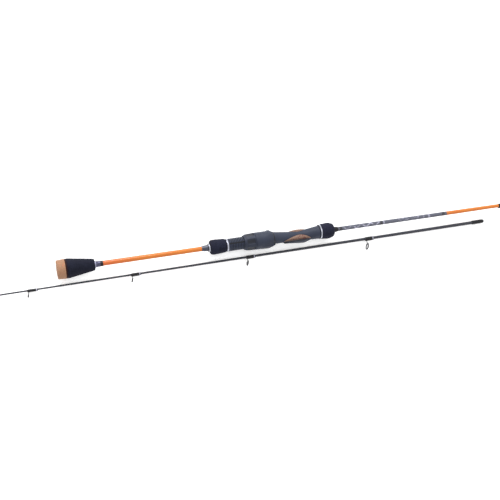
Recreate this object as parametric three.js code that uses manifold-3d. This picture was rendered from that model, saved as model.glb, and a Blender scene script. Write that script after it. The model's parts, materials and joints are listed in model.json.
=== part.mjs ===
// A two-piece ultralight spinning rod, laid down in its two sections. Millimetres, +Z up.
// The butt section runs along +X from its cap to the bare spigot. The tip section lies beside it on the
// -Y side, thin end towards -X. Each section is drawn in its own frame: +X along the rod, -Z the foot
// side, where the reel and the line guides hang. The two frames are then rolled and set on the floor.
import * as THREE from "three";
import { mergeVertices } from "three/addons/utils/BufferGeometryUtils.js";
import Module from "manifold-3d";

const wasm = await Module();
wasm.setup();

// Driving dimensions
const SECTION_LENGTH = 1090; // each of the two sections
const FERRULE_DEPTH = 50; // overlap of the sections when the rod is made up
const GAP = 0.1; // between pieces that sit on each other, coaxial
const CUT_GAP = 0.3; // between pieces with cut faces
const ROUND = 24; // sides of a handle piece
const RING_SIDES = 16; // sides of a guide's ring
const SLIM = 12; // sides of a blank or wrap
const FOOT_BED = 8.7; // from the rod's axis to the flat bed of the reel's foot
const BED_START = 279.7;
const BED_END = 376.7;
const BARREL_START = 252.1;
const BARREL_R = 9.65;
const BARREL_BORE_R = 7;
const FORE_START = 325.2; // rear end of the seat's skeleton fore-body
const FORE_END = 399;
const FORE_BORE_R = 5.2;
const NUT_START = 276.1;
const NUT_END = 293.6;
const NUT_PANELS = 6;
const HOOD_START = 293.9;
const HOOD_END = 324.3;
const HOOD_BORE_R = 10.3;
const KEY_Z = 1.5; // the keyway runs along the barrel's -Y side, this far towards the palm side
const BAND = 0.7; // wall of a guide frame's ring
// Windows in the fore-body: direction round the axis from the foot side, middle, half length, height of the
// arch towards the palm side, its skew, height of its two tips and of its edge towards the foot side
const SIDE_WINDOW = { angle: 60, mid: 360.3, half: 24.7, arch: 5.2, skew: 8, tips: -3.7, base: -4.2 };
const PALM_WINDOW = { angle: 180, mid: 364, half: 14, arch: 4.2, skew: 0, tips: 0, base: -4.2 };
const SIDE_CORE_PROUD = 0.4; // how far the core stands out of a side window

// How the sections lie: radii that touch the floor set the tilt of each axis
const BUTT_REST = [11.7, 14.2]; // distance along the butt section, height of its axis
const HOOD_REST = [305, 13];
const BUTT_ROLL = 2.2; // degrees that the foot side dips below level
const TIP_ROLL = -10.5; // the tip section's guides point a little up
const TIP_END_REST = 1.87;
const SPIGOT_END_REST = 3.22;
const TIP_ORIGIN_X = -393; // the tip-top's place along the butt section
const TIP_ORIGIN_Y = -23;
const TIP_TURN = 0.1; // degrees between the two sections seen from above

// Double-foot guides of the butt section and single-foot guides of the tip section
const BUTT_GUIDES = [
  { name: "stripper_guide", at: 755, ringR: 9, reach: 31, foot: 16 },
  { name: "second_guide", at: 995, ringR: 6.5, reach: 22.5, foot: 13 },
];
const TIP_GUIDES = [
  { name: "guide_7", at: 873.3, ringR: 5.6, reach: 17.7 },
  { name: "guide_6", at: 673.6, ringR: 4.3, reach: 13.4 },
  { name: "guide_5", at: 497, ringR: 3.4, reach: 11.4 },
  { name: "guide_4", at: 350, ringR: 2.9, reach: 10.2 },
  { name: "guide_3", at: 228, ringR: 2.6, reach: 9.2 },
  { name: "guide_2", at: 128, ringR: 2.4, reach: 8.4 },
  { name: "guide_1", at: 50, ringR: 2.3, reach: 7.7 },
];
const GUIDE_LEAN = 20; // degrees that a ring leans towards the tip
const WRAP_LENGTH = 14;
const BUTT_FOOT_WIDTH = 2.2;
const TIP_FOOT_WIDTH = 1.2;

const material = (color, roughness, metalness = 0) => () =>
  new THREE.MeshStandardMaterial({ color, roughness, metalness });
const cork = material(0xb98f72, 0.85);
const maroon = material(0x3a1a1c, 0.6);
const foam = material(0x26293a, 0.9);
const silver = material(0xc6c8d6, 0.2, 1);
const darkMetal = material(0x4a4e5c, 0.35, 0.8);
const orangePaint = material(0xe8904a, 0.25);
const darkPaint = material(0x4c4e56, 0.35);
const seatPlastic = material(0x454c5a, 0.55);
const thread = material(0x1c1c22, 0.4);
const ceramic = material(0x2a2a30, 0.2);
const wireMetal = material(0x2e2e34, 0.35, 0.8);
const bushing = material(0xd8d2c0, 0.9);

const DEGREE = Math.PI / 180;
const interpolate = (stations, x) => {
  const last = stations.length - 1;
  if (x <= stations[0][0]) return stations[0][1];
  if (x >= stations[last][0]) return stations[last][1];
  const i = stations.findIndex(([at]) => at > x) - 1;
  const [[x0, y0], [x1, y1]] = [stations[i], stations[i + 1]];
  return y0 + ((y1 - y0) * (x - x0)) / (x1 - x0);
};

// Outer radius of each blank along its section
const BUTT_TAPER = [[4, 3.9], [211, 3.63], [625, 3.25], [SECTION_LENGTH, 1.95]];
const TIP_TAPER = [[1, 0.75], [497, 1.43], [978, 2.47], [SECTION_LENGTH, 2.75]];
const buttBlankR = (x) => interpolate(BUTT_TAPER, x);
const tipBlankR = (x) => interpolate(TIP_TAPER, x);

// A piece turned round the X axis. points are [x, radius]; a profile that ends off the axis closes on itself.
function turned(points, sides = ROUND) {
  const onAxis = points[0][1] === 0;
  const loop = onAxis ? points : [...points, points[0]];
  const profile = loop.map(([x, r]) => new THREE.Vector2(r, x));
  return facingOut(new THREE.LatheGeometry(profile, sides).rotateZ(-Math.PI / 2));
}

// A turned piece with a bore: outer points from rear to front, and the bore's radius.
function sleeve(outer, boreR, sides = ROUND) {
  const front = outer[outer.length - 1][0];
  return turned([...outer, [front, boreR], [outer[0][0], boreR]], sides);
}

function facingOut(geometry) {
  const source = geometry.index ? geometry.toNonIndexed() : geometry;
  const p = source.getAttribute("position");
  const [a, b, c] = [new THREE.Vector3(), new THREE.Vector3(), new THREE.Vector3()];
  let volume = 0;
  for (let i = 0; i < p.count; i += 3) {
    a.fromBufferAttribute(p, i);
    b.fromBufferAttribute(p, i + 1);
    c.fromBufferAttribute(p, i + 2);
    volume += a.dot(b.cross(c));
  }
  if (volume > 0) return source;
  for (let i = 0; i < p.count; i += 3) {
    a.fromBufferAttribute(p, i + 1);
    b.fromBufferAttribute(p, i + 2);
    p.setXYZ(i + 1, b.x, b.y, b.z);
    p.setXYZ(i + 2, a.x, a.y, a.z);
  }
  return source;
}

// Solids for cutting and joining
function solid(geometry) {
  const bare = new THREE.BufferGeometry();
  bare.setAttribute("position", facingOut(geometry).getAttribute("position"));
  const merged = mergeVertices(bare, 1e-4);
  const corners = merged.index.array;
  const triVerts = [];
  for (let i = 0; i < corners.length; i += 3) {
    const [p, q, r] = [corners[i], corners[i + 1], corners[i + 2]];
    if (p !== q && q !== r && r !== p) triVerts.push(p, q, r);
  }
  const vertProperties = merged.getAttribute("position").array;
  return new wasm.Manifold(
    new wasm.Mesh({ numProp: 3, vertProperties, triVerts: new Uint32Array(triVerts) }),
  );
}

function geometryOf(manifold) {
  const mesh = manifold.getMesh();
  const geometry = new THREE.BufferGeometry();
  geometry.setAttribute("position", new THREE.BufferAttribute(mesh.vertProperties, 3));
  geometry.setIndex(new THREE.BufferAttribute(mesh.triVerts, 1));
  return geometry;
}

const joined = (first, ...others) => others.reduce((whole, other) => whole.add(other), first);
const less = (first, ...others) => others.reduce((whole, other) => whole.subtract(other), first);

function box([x0, x1], [y0, y1], [z0, z1]) {
  const geometry = new THREE.BoxGeometry(x1 - x0, y1 - y0, z1 - z0);
  return solid(geometry.translate((x0 + x1) / 2, (y0 + y1) / 2, (z0 + z1) / 2));
}

function addPiece(group, name, shape, makeMaterial) {
  const geometry = shape.isBufferGeometry ? shape : geometryOf(shape);
  const mesh = new THREE.Mesh(geometry, makeMaterial());
  mesh.name = name;
  group.add(mesh);
}

// Handle

function addButtGrip(butt) {
  const capBoreR = buttBlankR(4) + GAP;
  const cap = turned([
    [0, 0], [0, 12.7], [0.9, 13.6], [11.7, 14.2], [11.7, capBoreR], [3.7, capBoreR], [3.7, 0],
  ]);
  addPiece(butt, "butt_cap", cap, cork);
  const ring = sleeve([[11.8, 14.1], [13.9, 14.1]], capBoreR);
  addPiece(butt, "butt_trim_ring", ring, maroon);
  const grip = sleeve([[14, 14.2], [15.7, 14.2], [50.2, 9], [52.4, 8.4], [53.2, 7]], capBoreR);
  addPiece(butt, "butt_grip", grip, foam);
  const check = sleeve([[53.3, 5.1], [54.4, 5.1], [64.8, 4.15]], capBoreR);
  addPiece(butt, "butt_check", check, darkMetal);
}

function addRearGrip(butt) {
  const boreR = buttBlankR(210) + GAP;
  const check = sleeve([[210.9, 3.95], [214.6, 4.05], [220.8, 4.8]], boreR);
  addPiece(butt, "rear_check", check, darkMetal);
  const backRing = sleeve([[220.9, 5.9], [221.7, 6.3], [224.1, 6.3]], boreR);
  addPiece(butt, "rear_grip_back_ring", backRing, silver);
  const grip = sleeve([
    [224.2, 9.1], [225.3, 10.2], [227.3, 11.1], [231.3, 11.3], [240, 10.9], [245.2, 10.4], [247.4, 9.8],
    [248.2, 8.8],
  ], boreR);
  addPiece(butt, "rear_grip", grip, foam);
  const frontRing = sleeve([[248.3, 9.3], [249.1, 9.7], [251.3, 9.7], [252, 9.3]], boreR);
  addPiece(butt, "rear_grip_front_ring", frontRing, silver);
}

function addForeGrip(butt) {
  const boreR = buttBlankR(399) + GAP;
  const ring = sleeve([[399.1, 10.8], [399.7, 11.2], [401.6, 11.2], [402.2, 10.9]], boreR);
  addPiece(butt, "fore_grip_ring", ring, silver);
  const grip = sleeve([
    [402.3, 11.3], [409, 11.9], [416, 12.5], [420.2, 12], [422.5, 10.3], [423.6, 7.9],
  ], boreR);
  addPiece(butt, "fore_grip", grip, foam);
  const check = sleeve([[423.7, 4.5], [427, 4.3], [431.4, 3.8]], boreR);
  addPiece(butt, "fore_check", check, thread);
}

// Reel seat

// Radius of the fore-body on the palm side and, before the bed is cut, on the foot side
const PALM_SIDE = [[FORE_START, 10], [332.5, 9], [339, 8.1], [345.3, 7.4], [353, 6.8], [360.4, 6.6],
  [369, 6.6], [377.8, 7.2], [385.5, 8.1], [394.3, 9.3], [FORE_END, 9.9]];
const FOOT_SIDE = [[FORE_START, 10], [376.7, 10.1], [385, 10.1], [FORE_END, 10.5]];

function foreBodyR(x, fromPalm) {
  const share = ((1 - Math.cos(fromPalm)) / 2) ** 1.5;
  const palm = interpolate(PALM_SIDE, x);
  return palm + share * (interpolate(FOOT_SIDE, x) - palm);
}

// The fore-body before it is cut, drawn proud of its own skin for the core that fills its windows
function foreBody(proud = 0) {
  const stations = PALM_SIDE.map(([x]) => [x, 1]);
  const geometry = turned([[FORE_START, 0], ...stations, [FORE_END, 0]]);
  const p = geometry.getAttribute("position");
  for (let i = 0; i < p.count; i += 1) {
    const [x, y, z] = [p.getX(i), p.getY(i), p.getZ(i)];
    const angle = Math.atan2(y, z);
    const r = Math.hypot(y, z) * (foreBodyR(x, angle) + proud);
    p.setXYZ(i, x, r * Math.sin(angle), r * Math.cos(angle));
  }
  return solid(geometry);
}

// A block that goes out through a window, shrunk by margin all round. side is 1, or -1 for a mirrored one.
function windowBlock(window, side, margin, innerR, outerR) {
  const { angle, mid, skew, tips } = window;
  const [half, arch, base] = [window.half - 2 * margin, window.arch - margin, window.base + margin];
  const leaf = new THREE.Shape();
  leaf.moveTo(-half, side * tips);
  leaf.quadraticCurveTo(skew, side * (2 * arch - tips), half, side * tips);
  leaf.quadraticCurveTo(0, side * (2 * base - tips), -half, side * tips);
  const depth = outerR - innerR;
  const block = new THREE.ExtrudeGeometry(leaf, { depth, bevelEnabled: false, curveSegments: 8 });
  block.translate(mid, 0, -outerR);
  return solid(block.rotateX(side * angle * DEGREE));
}

// The space below a slanted plane, from [x, z] to [x, z] on the foot side, that bares a hood's mouth
function belowSlant([x0, z0], [x1, z1]) {
  const outline = new THREE.Shape([
    new THREE.Vector2(x0, z0), new THREE.Vector2(x1, z1), new THREE.Vector2(x1, -20), new THREE.Vector2(x0, -20),
  ]);
  const block = new THREE.ExtrudeGeometry(outline, { depth: 40, bevelEnabled: false });
  return solid(block.translate(0, 0, -20).rotateX(Math.PI / 2));
}

const windowBlocks = (margin, innerR, outerR) => [
  windowBlock(SIDE_WINDOW, 1, margin, innerR, outerR),
  windowBlock(SIDE_WINDOW, -1, margin, innerR, outerR),
  windowBlock(PALM_WINDOW, 1, margin, innerR, outerR),
];

function fixedHood() {
  const shell = solid(turned([[336.5, 0], [336.5, 10.2], [345, 12.9], [355, 13.3], [373, 13.3], [385, 9.9],
    [385, 0]]));
  const hollow = solid(turned([[330, 0], [330, 12], [373, 12], [BED_END, 10.8], [BED_END, 0]]));
  const outsideBed = box([330, 390], [-20, 20], [-20, -FOOT_BED]);
  const shellBelowBed = shell.intersect(box([330, 390], [-20, 20], [-20, -7.6]));
  return less(shellBelowBed, hollow.intersect(outsideBed), belowSlant([334, -9.5], [372.6, -13.35]));
}

function addReelSeat(butt) {
  const barrel = solid(turned([[BARREL_START, 0], [BARREL_START, BARREL_R], [FORE_START + 0.5, BARREL_R],
    [FORE_START + 0.5, 0]]));
  const body = barrel.add(foreBody());
  const bedCut = box([BED_START, BED_END], [-20, 20], [-20, -FOOT_BED]);
  const barrelBore = solid(turned([[247, 0], [247, BARREL_BORE_R], [334, BARREL_BORE_R], [334, 0]]));
  const foreBore = solid(turned([[332, 0], [332, FORE_BORE_R], [405, FORE_BORE_R], [405, 0]]));
  const keyway = box([BARREL_START - 1, 322.5], [-20, 1 - BARREL_R], [KEY_Z - 1.1, KEY_Z + 1.1]);
  const seat = less(body, bedCut, ...windowBlocks(0, 3, 12)).add(fixedHood());
  addPiece(butt, "reel_seat", less(seat, keyway, barrelBore, foreBore), seatPlastic);
}

function addSeatInsides(butt) {
  const boreR = buttBlankR(257) + GAP;
  const rear = sleeve([[257, BARREL_BORE_R - GAP], [275, BARREL_BORE_R - GAP]], boreR);
  addPiece(butt, "seat_bushing_rear", rear, bushing);
  const front = sleeve([[312, BARREL_BORE_R - GAP], [331, BARREL_BORE_R - GAP]], boreR);
  addPiece(butt, "seat_bushing_front", front, bushing);
  const coreBoreR = buttBlankR(334) + GAP;
  const tube = solid(sleeve([[334.5, FORE_BORE_R - GAP], [389, FORE_BORE_R - GAP]], coreBoreR));
  const palmSwell = solid(turned([
    [349.5, 0], [349.5, 6.6], [353, 7.6], [358, 8.3], [363.5, 8.6], [369, 8.4], [374, 7.7], [378.5, 6.9],
    [378.5, 0],
  ]));
  const [farSide, nearSide, palm] = windowBlocks(CUT_GAP, 4.6, 12);
  const skin = foreBody(SIDE_CORE_PROUD);
  const lobes = [farSide.intersect(skin), nearSide.intersect(skin), palm.intersect(palmSwell)];
  const belowBed = box([330, 400], [-20, 20], [-20, CUT_GAP - FOOT_BED]);
  const fixedHoodSpace = box([336, 386], [-20, 20], [-20, -7.3]);
  addPiece(butt, "seat_core", less(joined(tube, ...lobes), belowBed, fixedHoodSpace), cork);
}

function addMovingHood(butt) {
  const body = solid(turned([[HOOD_START, 0], [HOOD_START, 12.9], [296.5, 13.1], [311, 13.1], [315.5, 12.9],
    [HOOD_END, 10.9], [HOOD_END, 0]]));
  const footBulge = solid(turned([[298.5, 0], [298.5, 12], [303.5, 13.5], [314, 13.9], [323.7, 13.9],
    [323.7, 0]]));
  const footSector = box([290, 330], [-8.8, 8.8], [-20, -7.5]);
  const pocket = solid(turned([[302.5, 0], [304.5, 12.5], [330, 12.5], [330, 0]]));
  const pocketWidth = box([290, 330], [-8.2, 8.2], [-20, -FOOT_BED]);
  const bore = solid(turned([[290, 0], [290, HOOD_BORE_R], [330, HOOD_BORE_R], [330, 0]]));
  const outer = body.add(footBulge.intersect(footSector));
  const mouth = belowSlant([314.2, -14], [324.7, -9.9]);
  const key = box([299, 311], [-HOOD_BORE_R - 0.5, 0.7 - BARREL_R], [KEY_Z - 0.8, KEY_Z + 0.8]);
  const hood = less(outer, bore, pocket.intersect(pocketWidth), mouth).add(key);
  addPiece(butt, "moving_hood", hood, seatPlastic);
  const plate = solid(sleeve([[306, 12.4], [311, 12.4]], 11.9));
  addPiece(butt, "hood_liner", plate.intersect(box([290, 330], [-7.6, 7.6], [-20, -9.5])), silver);
}

function addHoodNut(butt) {
  const body = solid(sleeve([[NUT_START, 10.9], [277.7, 11.2], [279, 12.1], [285, 12.6],
    [NUT_END, 12.9]], BARREL_R + GAP));
  const panels = Array.from({ length: NUT_PANELS }, (_, i) => {
    const panel = new THREE.BoxGeometry(12.6, 7.6, 3).translate(286, 0, 13.3);
    return solid(panel.rotateX(((i + 0.5) * 2 * Math.PI) / NUT_PANELS));
  });
  addPiece(butt, "hood_nut", less(body, ...panels), seatPlastic);
}

// Guides. Each is drawn with its ring's plane through x = 0 and then moved to its place.

// A strip or wire along a path in the XZ plane, width across and thickness along the path's normal
function strip(points, width, thickness, steps = 8) {
  const path = new THREE.CatmullRomCurve3(points.map(([x, z]) => new THREE.Vector3(x, 0, z)));
  const section = new THREE.Shape();
  section.moveTo(-thickness / 2, -width / 2);
  section.lineTo(thickness / 2, -width / 2);
  section.lineTo(thickness / 2, width / 2);
  section.lineTo(-thickness / 2, width / 2);
  const options = { steps, extrudePath: path, bevelEnabled: false };
  return solid(new THREE.ExtrudeGeometry(section, options));
}

// A ring on the rod's axis direction, leaned towards the tip end and hung at its place on the foot side
function leaned(geometry, towardsTip, centre) {
  return geometry.rotateY(-towardsTip * GUIDE_LEAN * DEGREE).translate(centre[0], 0, centre[1]);
}

function frameBand(ringR, halfWidth) {
  const inner = ringR - BAND;
  return [[-halfWidth, ringR], [halfWidth, ringR], [halfWidth, inner], [-halfWidth, inner]];
}

const ringHole = (ringR, towardsTip, centre) => solid(leaned(
  turned([[-4, 0], [-4, ringR - BAND], [4, ringR - BAND], [4, 0]], RING_SIDES), towardsTip, centre));

function ringProfile(ringR, halfWidth) {
  const outer = ringR - BAND - GAP;
  const inner = outer - (0.4 + 0.06 * ringR);
  const edge = halfWidth + 0.2;
  return [[-edge, outer], [edge, outer], [edge, inner], [-edge, inner]];
}

// Thread over a guide's foot: a sleeve on the blank, raised on the foot side, hollowed for both, and open
// up to notchEnd where a leg comes out through it
function footWrap([x0, x1], blankR, footHalfWidth, footThickness, notchEnd = x0) {
  const outer = (raise) => turned([[x0, 0], [x0, blankR + 0.35], [x0 + 1.2, blankR + raise],
    [x1 - 1.2, blankR + raise], [x1, blankR + 0.35], [x1, 0]], SLIM);
  const hump = solid(outer(0.95).translate(0, 0, -footThickness));
  const bore = solid(turned([[x0 - 1, 0], [x0 - 1, blankR + GAP], [x1 + 1, blankR + GAP], [x1 + 1, 0]], SLIM));
  const slot = box([x0 - 1, x1 + 1], [-footHalfWidth - CUT_GAP, footHalfWidth + CUT_GAP],
    [-blankR - footThickness - 2 * GAP - 0.2, 0]);
  const notch = box([x0 - 2, Math.max(x0 - 1, notchEnd)],
    [-footHalfWidth - CUT_GAP, footHalfWidth + CUT_GAP], [-20, 0]);
  return less(solid(outer(0.5)).add(hump), bore, slot, notch);
}

// How far below the axis a guide's ring has its centre
const ringDown = ({ ringR, reach }) => ringR * Math.cos(GUIDE_LEAN * DEGREE) - reach;

// Single-foot guide of the tip section: its tip end is at low x, so it leans to -x
function addSingleFootGuide(tip, guide) {
  const { name, at, ringR } = guide;
  const blankR = tipBlankR(at + WRAP_LENGTH);
  const thick = 0.7;
  const halfWidth = 0.55 + 0.05 * ringR;
  const footZ = -(blankR + 2 * GAP + thick / 2);
  const centre = [at, ringDown(guide)];
  const lean = GUIDE_LEAN * DEGREE;
  const foot = centre[0] + (ringR - 0.4) * Math.sin(lean);
  const top = centre[1] + (ringR - 0.4) * Math.cos(lean);
  const leg = strip([[at + WRAP_LENGTH - 1.5, footZ], [at + 7, footZ], [at + 3, footZ],
    [at + 1.6, footZ - 0.6], [(at + 1 + foot) / 2, (footZ + top) / 2 - 0.2], [foot, top]],
  TIP_FOOT_WIDTH, thick, 10);
  const band = solid(leaned(turned(frameBand(ringR, halfWidth), RING_SIDES), -1, centre));
  addPiece(tip, `${name}_frame`, less(band.add(leg), ringHole(ringR, -1, centre)), wireMetal);
  const ring = leaned(turned(ringProfile(ringR, halfWidth), RING_SIDES), -1, centre);
  addPiece(tip, `${name}_ring`, ring, ceramic);
  const wrap = footWrap([at - 0.5, at + WRAP_LENGTH], blankR, TIP_FOOT_WIDTH / 2, thick, at + 3);
  addPiece(tip, `${name}_wrap`, wrap, thread);
}

// Double-foot guide of the butt section: the tip end is at high x, so the ring leans to +x
function addDoubleFootGuide(butt, guide) {
  const { name, at, ringR, foot } = guide;
  const thick = 0.9;
  const blankR = buttBlankR(at - foot - WRAP_LENGTH);
  const footZ = -(blankR + 2 * GAP + thick / 2);
  const centre = [at + 3, ringDown(guide)];
  const lean = GUIDE_LEAN * DEGREE;
  const nearEdge = [centre[0] - (ringR - 0.4) * Math.sin(lean), centre[1] + (ringR - 0.4) * Math.cos(lean)];
  const frontLeg = strip([[at + foot + WRAP_LENGTH - 2, footZ], [at + foot + 3, footZ], [at + foot, footZ],
    [at + foot - 2, footZ - 1.2], [(at + foot + nearEdge[0]) / 2, (footZ + nearEdge[1]) / 2],
    [nearEdge[0] + 0.8, nearEdge[1] - 0.2]], BUTT_FOOT_WIDTH, thick, 12);
  const rearLeg = strip([[at - foot - WRAP_LENGTH + 2, footZ], [at - foot - 3, footZ], [at - foot, footZ],
    [at - foot + 2, footZ - 1], [(at - foot + nearEdge[0]) / 2, (footZ + nearEdge[1]) / 2 - 0.6],
    [nearEdge[0] + 0.2, nearEdge[1] - 0.3]], BUTT_FOOT_WIDTH, thick, 12);
  const halfWidth = 1.2;
  const band = solid(leaned(turned(frameBand(ringR, halfWidth), RING_SIDES), 1, centre));
  const frame = less(joined(band, frontLeg, rearLeg), ringHole(ringR, 1, centre));
  addPiece(butt, `${name}_frame`, frame, wireMetal);
  const ring = leaned(turned(ringProfile(ringR, halfWidth), RING_SIDES), 1, centre);
  addPiece(butt, `${name}_ring`, ring, ceramic);
  const wrap = (start) => footWrap([start, start + WRAP_LENGTH], blankR, BUTT_FOOT_WIDTH / 2, thick);
  addPiece(butt, `${name}_rear_wrap`, wrap(at - foot - WRAP_LENGTH), thread);
  addPiece(butt, `${name}_front_wrap`, wrap(at + foot), thread);
}

// The tip-top: a short tube on the blank's thin end with a ring hung from it
function addTipTop(tip) {
  const ringR = 2.5;
  const halfWidth = 0.6;
  const tubeR = 1.45;
  const centre = [-3.2, -3.3];
  const tube = solid(turned([[-0.6, 0], [-0.6, tubeR - 0.3], [0, tubeR], [10, tubeR], [10, 0]], SLIM));
  const tubeBore = solid(turned([[0.8, 0], [0.8, 0.95], [11, 0.95], [11, 0]], SLIM));
  const strut = strip([[4, -tubeR - 0.1], [1.6, -tubeR - 0.2], [-0.6, -tubeR - 0.1], [-2.3, -tubeR]],
    1.3, 0.9, 6);
  const band = solid(leaned(turned(frameBand(ringR, halfWidth), RING_SIDES), -1, centre));
  addPiece(tip, "tip_top_frame", less(joined(tube, strut, band), tubeBore, ringHole(ringR, -1, centre)),
    wireMetal);
  const ring = leaned(turned(ringProfile(ringR, halfWidth), RING_SIDES), -1, centre);
  addPiece(tip, "tip_top_ring", ring, ceramic);
  const wrapBoreR = tipBlankR(16) + GAP;
  const wrap = sleeve([[10.2, 1.35], [11, 1.45], [16, 1.4], [17, 1.1]], wrapBoreR, SLIM);
  addPiece(tip, "tip_top_wrap", wrap, thread);
}

// Blanks

function addButtBlank(butt) {
  const inner = BUTT_TAPER.map(([x, r]) => [x, r - 0.85]).reverse();
  addPiece(butt, "butt_blank", turned([...BUTT_TAPER, ...inner], SLIM), orangePaint);
  const [x0, x1] = [SECTION_LENGTH - FERRULE_DEPTH - 14, SECTION_LENGTH - FERRULE_DEPTH - 2];
  const boreR = buttBlankR(x0) + GAP;
  const wrap = sleeve([[x0, boreR + 0.2], [x0 + 1, boreR + 0.45], [x1 - 1, boreR + 0.45], [x1, boreR + 0.2]],
    boreR, SLIM);
  addPiece(butt, "butt_ferrule_wrap", wrap, thread);
}

// The tip section's blank, with the socket that takes the spigot end
function addTipBlank(tip) {
  const socketStart = SECTION_LENGTH - FERRULE_DEPTH;
  const socketR = buttBlankR(socketStart) + 0.02;
  const profile = [[1, 0], ...TIP_TAPER, [SECTION_LENGTH, socketR], [socketStart - 2, socketR - 0.1],
    [socketStart - 2, 1.2], [500, 0.7], [500, 0]];
  addPiece(tip, "tip_blank", turned(profile, SLIM), darkPaint);
  const boreR = tipBlankR(SECTION_LENGTH) + GAP;
  const [x0, x1] = [SECTION_LENGTH - 22, SECTION_LENGTH - 1];
  const wrap = sleeve([[x0, boreR + 0.2], [x0 + 1.2, boreR + 0.4], [x1 - 1, boreR + 0.4], [x1, boreR + 0.2]],
    boreR, SLIM);
  addPiece(tip, "ferrule_wrap", wrap, thread);
}

// The two sections and how they lie

const slopeOf = ([x0, z0], [x1, z1]) => Math.atan2(z0 - z1, x1 - x0);

function buttSection() {
  const butt = new THREE.Group();
  addButtGrip(butt);
  addRearGrip(butt);
  addReelSeat(butt);
  addSeatInsides(butt);
  addMovingHood(butt);
  addHoodNut(butt);
  addForeGrip(butt);
  addButtBlank(butt);
  BUTT_GUIDES.forEach((guide) => addDoubleFootGuide(butt, guide));
  const tilt = slopeOf(BUTT_REST, HOOD_REST);
  butt.rotation.set(-(90 - BUTT_ROLL) * DEGREE, tilt, 0, "ZYX");
  butt.position.z = BUTT_REST[1] + BUTT_REST[0] * Math.sin(tilt);
  return butt;
}

function tipSection() {
  const tip = new THREE.Group();
  addTipBlank(tip);
  addTipTop(tip);
  TIP_GUIDES.forEach((guide) => addSingleFootGuide(tip, guide));
  const tilt = slopeOf([0, TIP_END_REST], [SECTION_LENGTH, SPIGOT_END_REST]);
  tip.rotation.set(-(90 - TIP_ROLL) * DEGREE, tilt, TIP_TURN * DEGREE, "ZYX");
  tip.position.set(TIP_ORIGIN_X, TIP_ORIGIN_Y, TIP_END_REST);
  return tip;
}

// The part's origin is on the floor under the middle of both sections
const rod = new THREE.Group();
rod.add(buttSection(), tipSection());
rod.updateMatrixWorld(true);
const bounds = new THREE.Box3().setFromObject(rod, true);
const middle = bounds.getCenter(new THREE.Vector3());
rod.position.set(-middle.x, -middle.y, -bounds.min.z);

export default rod;
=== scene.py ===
"""Two-piece spinning rod laid down in its sections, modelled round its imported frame."""
import json
import math

import bpy
from mathutils import Matrix, Vector


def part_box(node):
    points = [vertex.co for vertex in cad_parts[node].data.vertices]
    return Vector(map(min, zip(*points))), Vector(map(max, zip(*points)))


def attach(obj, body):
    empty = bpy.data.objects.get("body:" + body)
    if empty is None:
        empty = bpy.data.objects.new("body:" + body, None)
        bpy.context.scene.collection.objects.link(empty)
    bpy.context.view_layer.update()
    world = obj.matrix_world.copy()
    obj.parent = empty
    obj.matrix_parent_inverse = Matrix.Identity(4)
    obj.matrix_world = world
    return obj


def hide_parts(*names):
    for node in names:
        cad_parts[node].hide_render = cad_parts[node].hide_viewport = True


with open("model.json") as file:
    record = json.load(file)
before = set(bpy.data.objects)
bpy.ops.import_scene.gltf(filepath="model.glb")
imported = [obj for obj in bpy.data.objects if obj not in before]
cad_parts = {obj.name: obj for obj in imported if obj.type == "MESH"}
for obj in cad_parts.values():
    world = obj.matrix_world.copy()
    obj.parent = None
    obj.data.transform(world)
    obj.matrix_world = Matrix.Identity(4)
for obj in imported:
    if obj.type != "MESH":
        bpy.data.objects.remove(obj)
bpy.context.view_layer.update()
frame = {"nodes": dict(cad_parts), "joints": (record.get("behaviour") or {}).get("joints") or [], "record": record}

bl_info = {
    "name": "Spinning Rod Maker",
    "version": (1, 0, 0),
    "blender": (4, 5, 0),
    "location": "3D View > Sidebar > Rod",
    "description": "Models a two-piece spinning rod, its handle, reel seat, guides and finishes",
    "category": "Add Mesh",
}

MM = 0.001
MERGE_DISTANCE = 1e-6
CLOSED_MERGE_DISTANCE = 8e-6  # a closed outline extruded all round comes back this close to its start
BOOLEAN_TRIES = 5
ROUND_SIDES = 96
SLIM_SIDES = 48
SECTION_LENGTH = 1090 * MM
FERRULE_WRAP_MIDDLE = SECTION_LENGTH - 11.5 * MM
THREAD_PITCH = 2.5 * MM
KEY_Z = 1.5 * MM
FOOT_BED = 8.7 * MM
GUIDE_LEAN = math.radians(20)


# ---------------------------------------------------------------- the two sections' own frames


def section_matrix(origin, along, foot):
    """A section's own axes: +X along it, -Z towards its foot side."""
    x = Vector(along).normalized()
    foot = Vector(foot)
    z = -(foot - x * foot.dot(x)).normalized()
    matrix = Matrix((x, z.cross(x), z)).transposed().to_4x4()
    matrix.translation = origin
    return matrix


def box_middle(node):
    low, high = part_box(node)
    return (low + high) / 2


def butt_section_matrix():
    turn = next(joint for joint in frame["joints"] if joint["name"] == "nut_turn")
    mounts = {mount["name"]: mount for mount in frame["record"]["mounts"]}
    along = Vector(turn["axis"]).normalized()
    on_axis = Vector(turn["pos_m"])
    end = Vector(mounts["butt_end"]["pos_m"])
    origin = on_axis + along * (end - on_axis).dot(along)
    return section_matrix(origin, along, mounts["reel_foot_bed"]["axis"])


def tip_section_matrix():
    thin, thick = box_middle("tip_top_wrap"), box_middle("ferrule_wrap")
    along = (thick - thin).normalized()
    origin = thick - along * FERRULE_WRAP_MIDDLE
    return section_matrix(origin, along, box_middle("guide_7_ring") - origin)


BUTT = butt_section_matrix()
TIP = tip_section_matrix()


def span(node, section):
    """Where a CAD node starts and ends along its section, and its largest radius."""
    inverse = section.inverted()
    points = [inverse @ vertex.co for vertex in frame["nodes"][node].data.vertices]
    stations = [point.x for point in points]
    return min(stations), max(stations), max(math.hypot(point.y, point.z) for point in points)


# ---------------------------------------------------------------- modelling by hand, in small steps


def deselect_all():
    if bpy.context.object and bpy.context.object.mode != "OBJECT":
        bpy.ops.object.mode_set(mode="OBJECT")
    bpy.ops.object.select_all(action="DESELECT")


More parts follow.
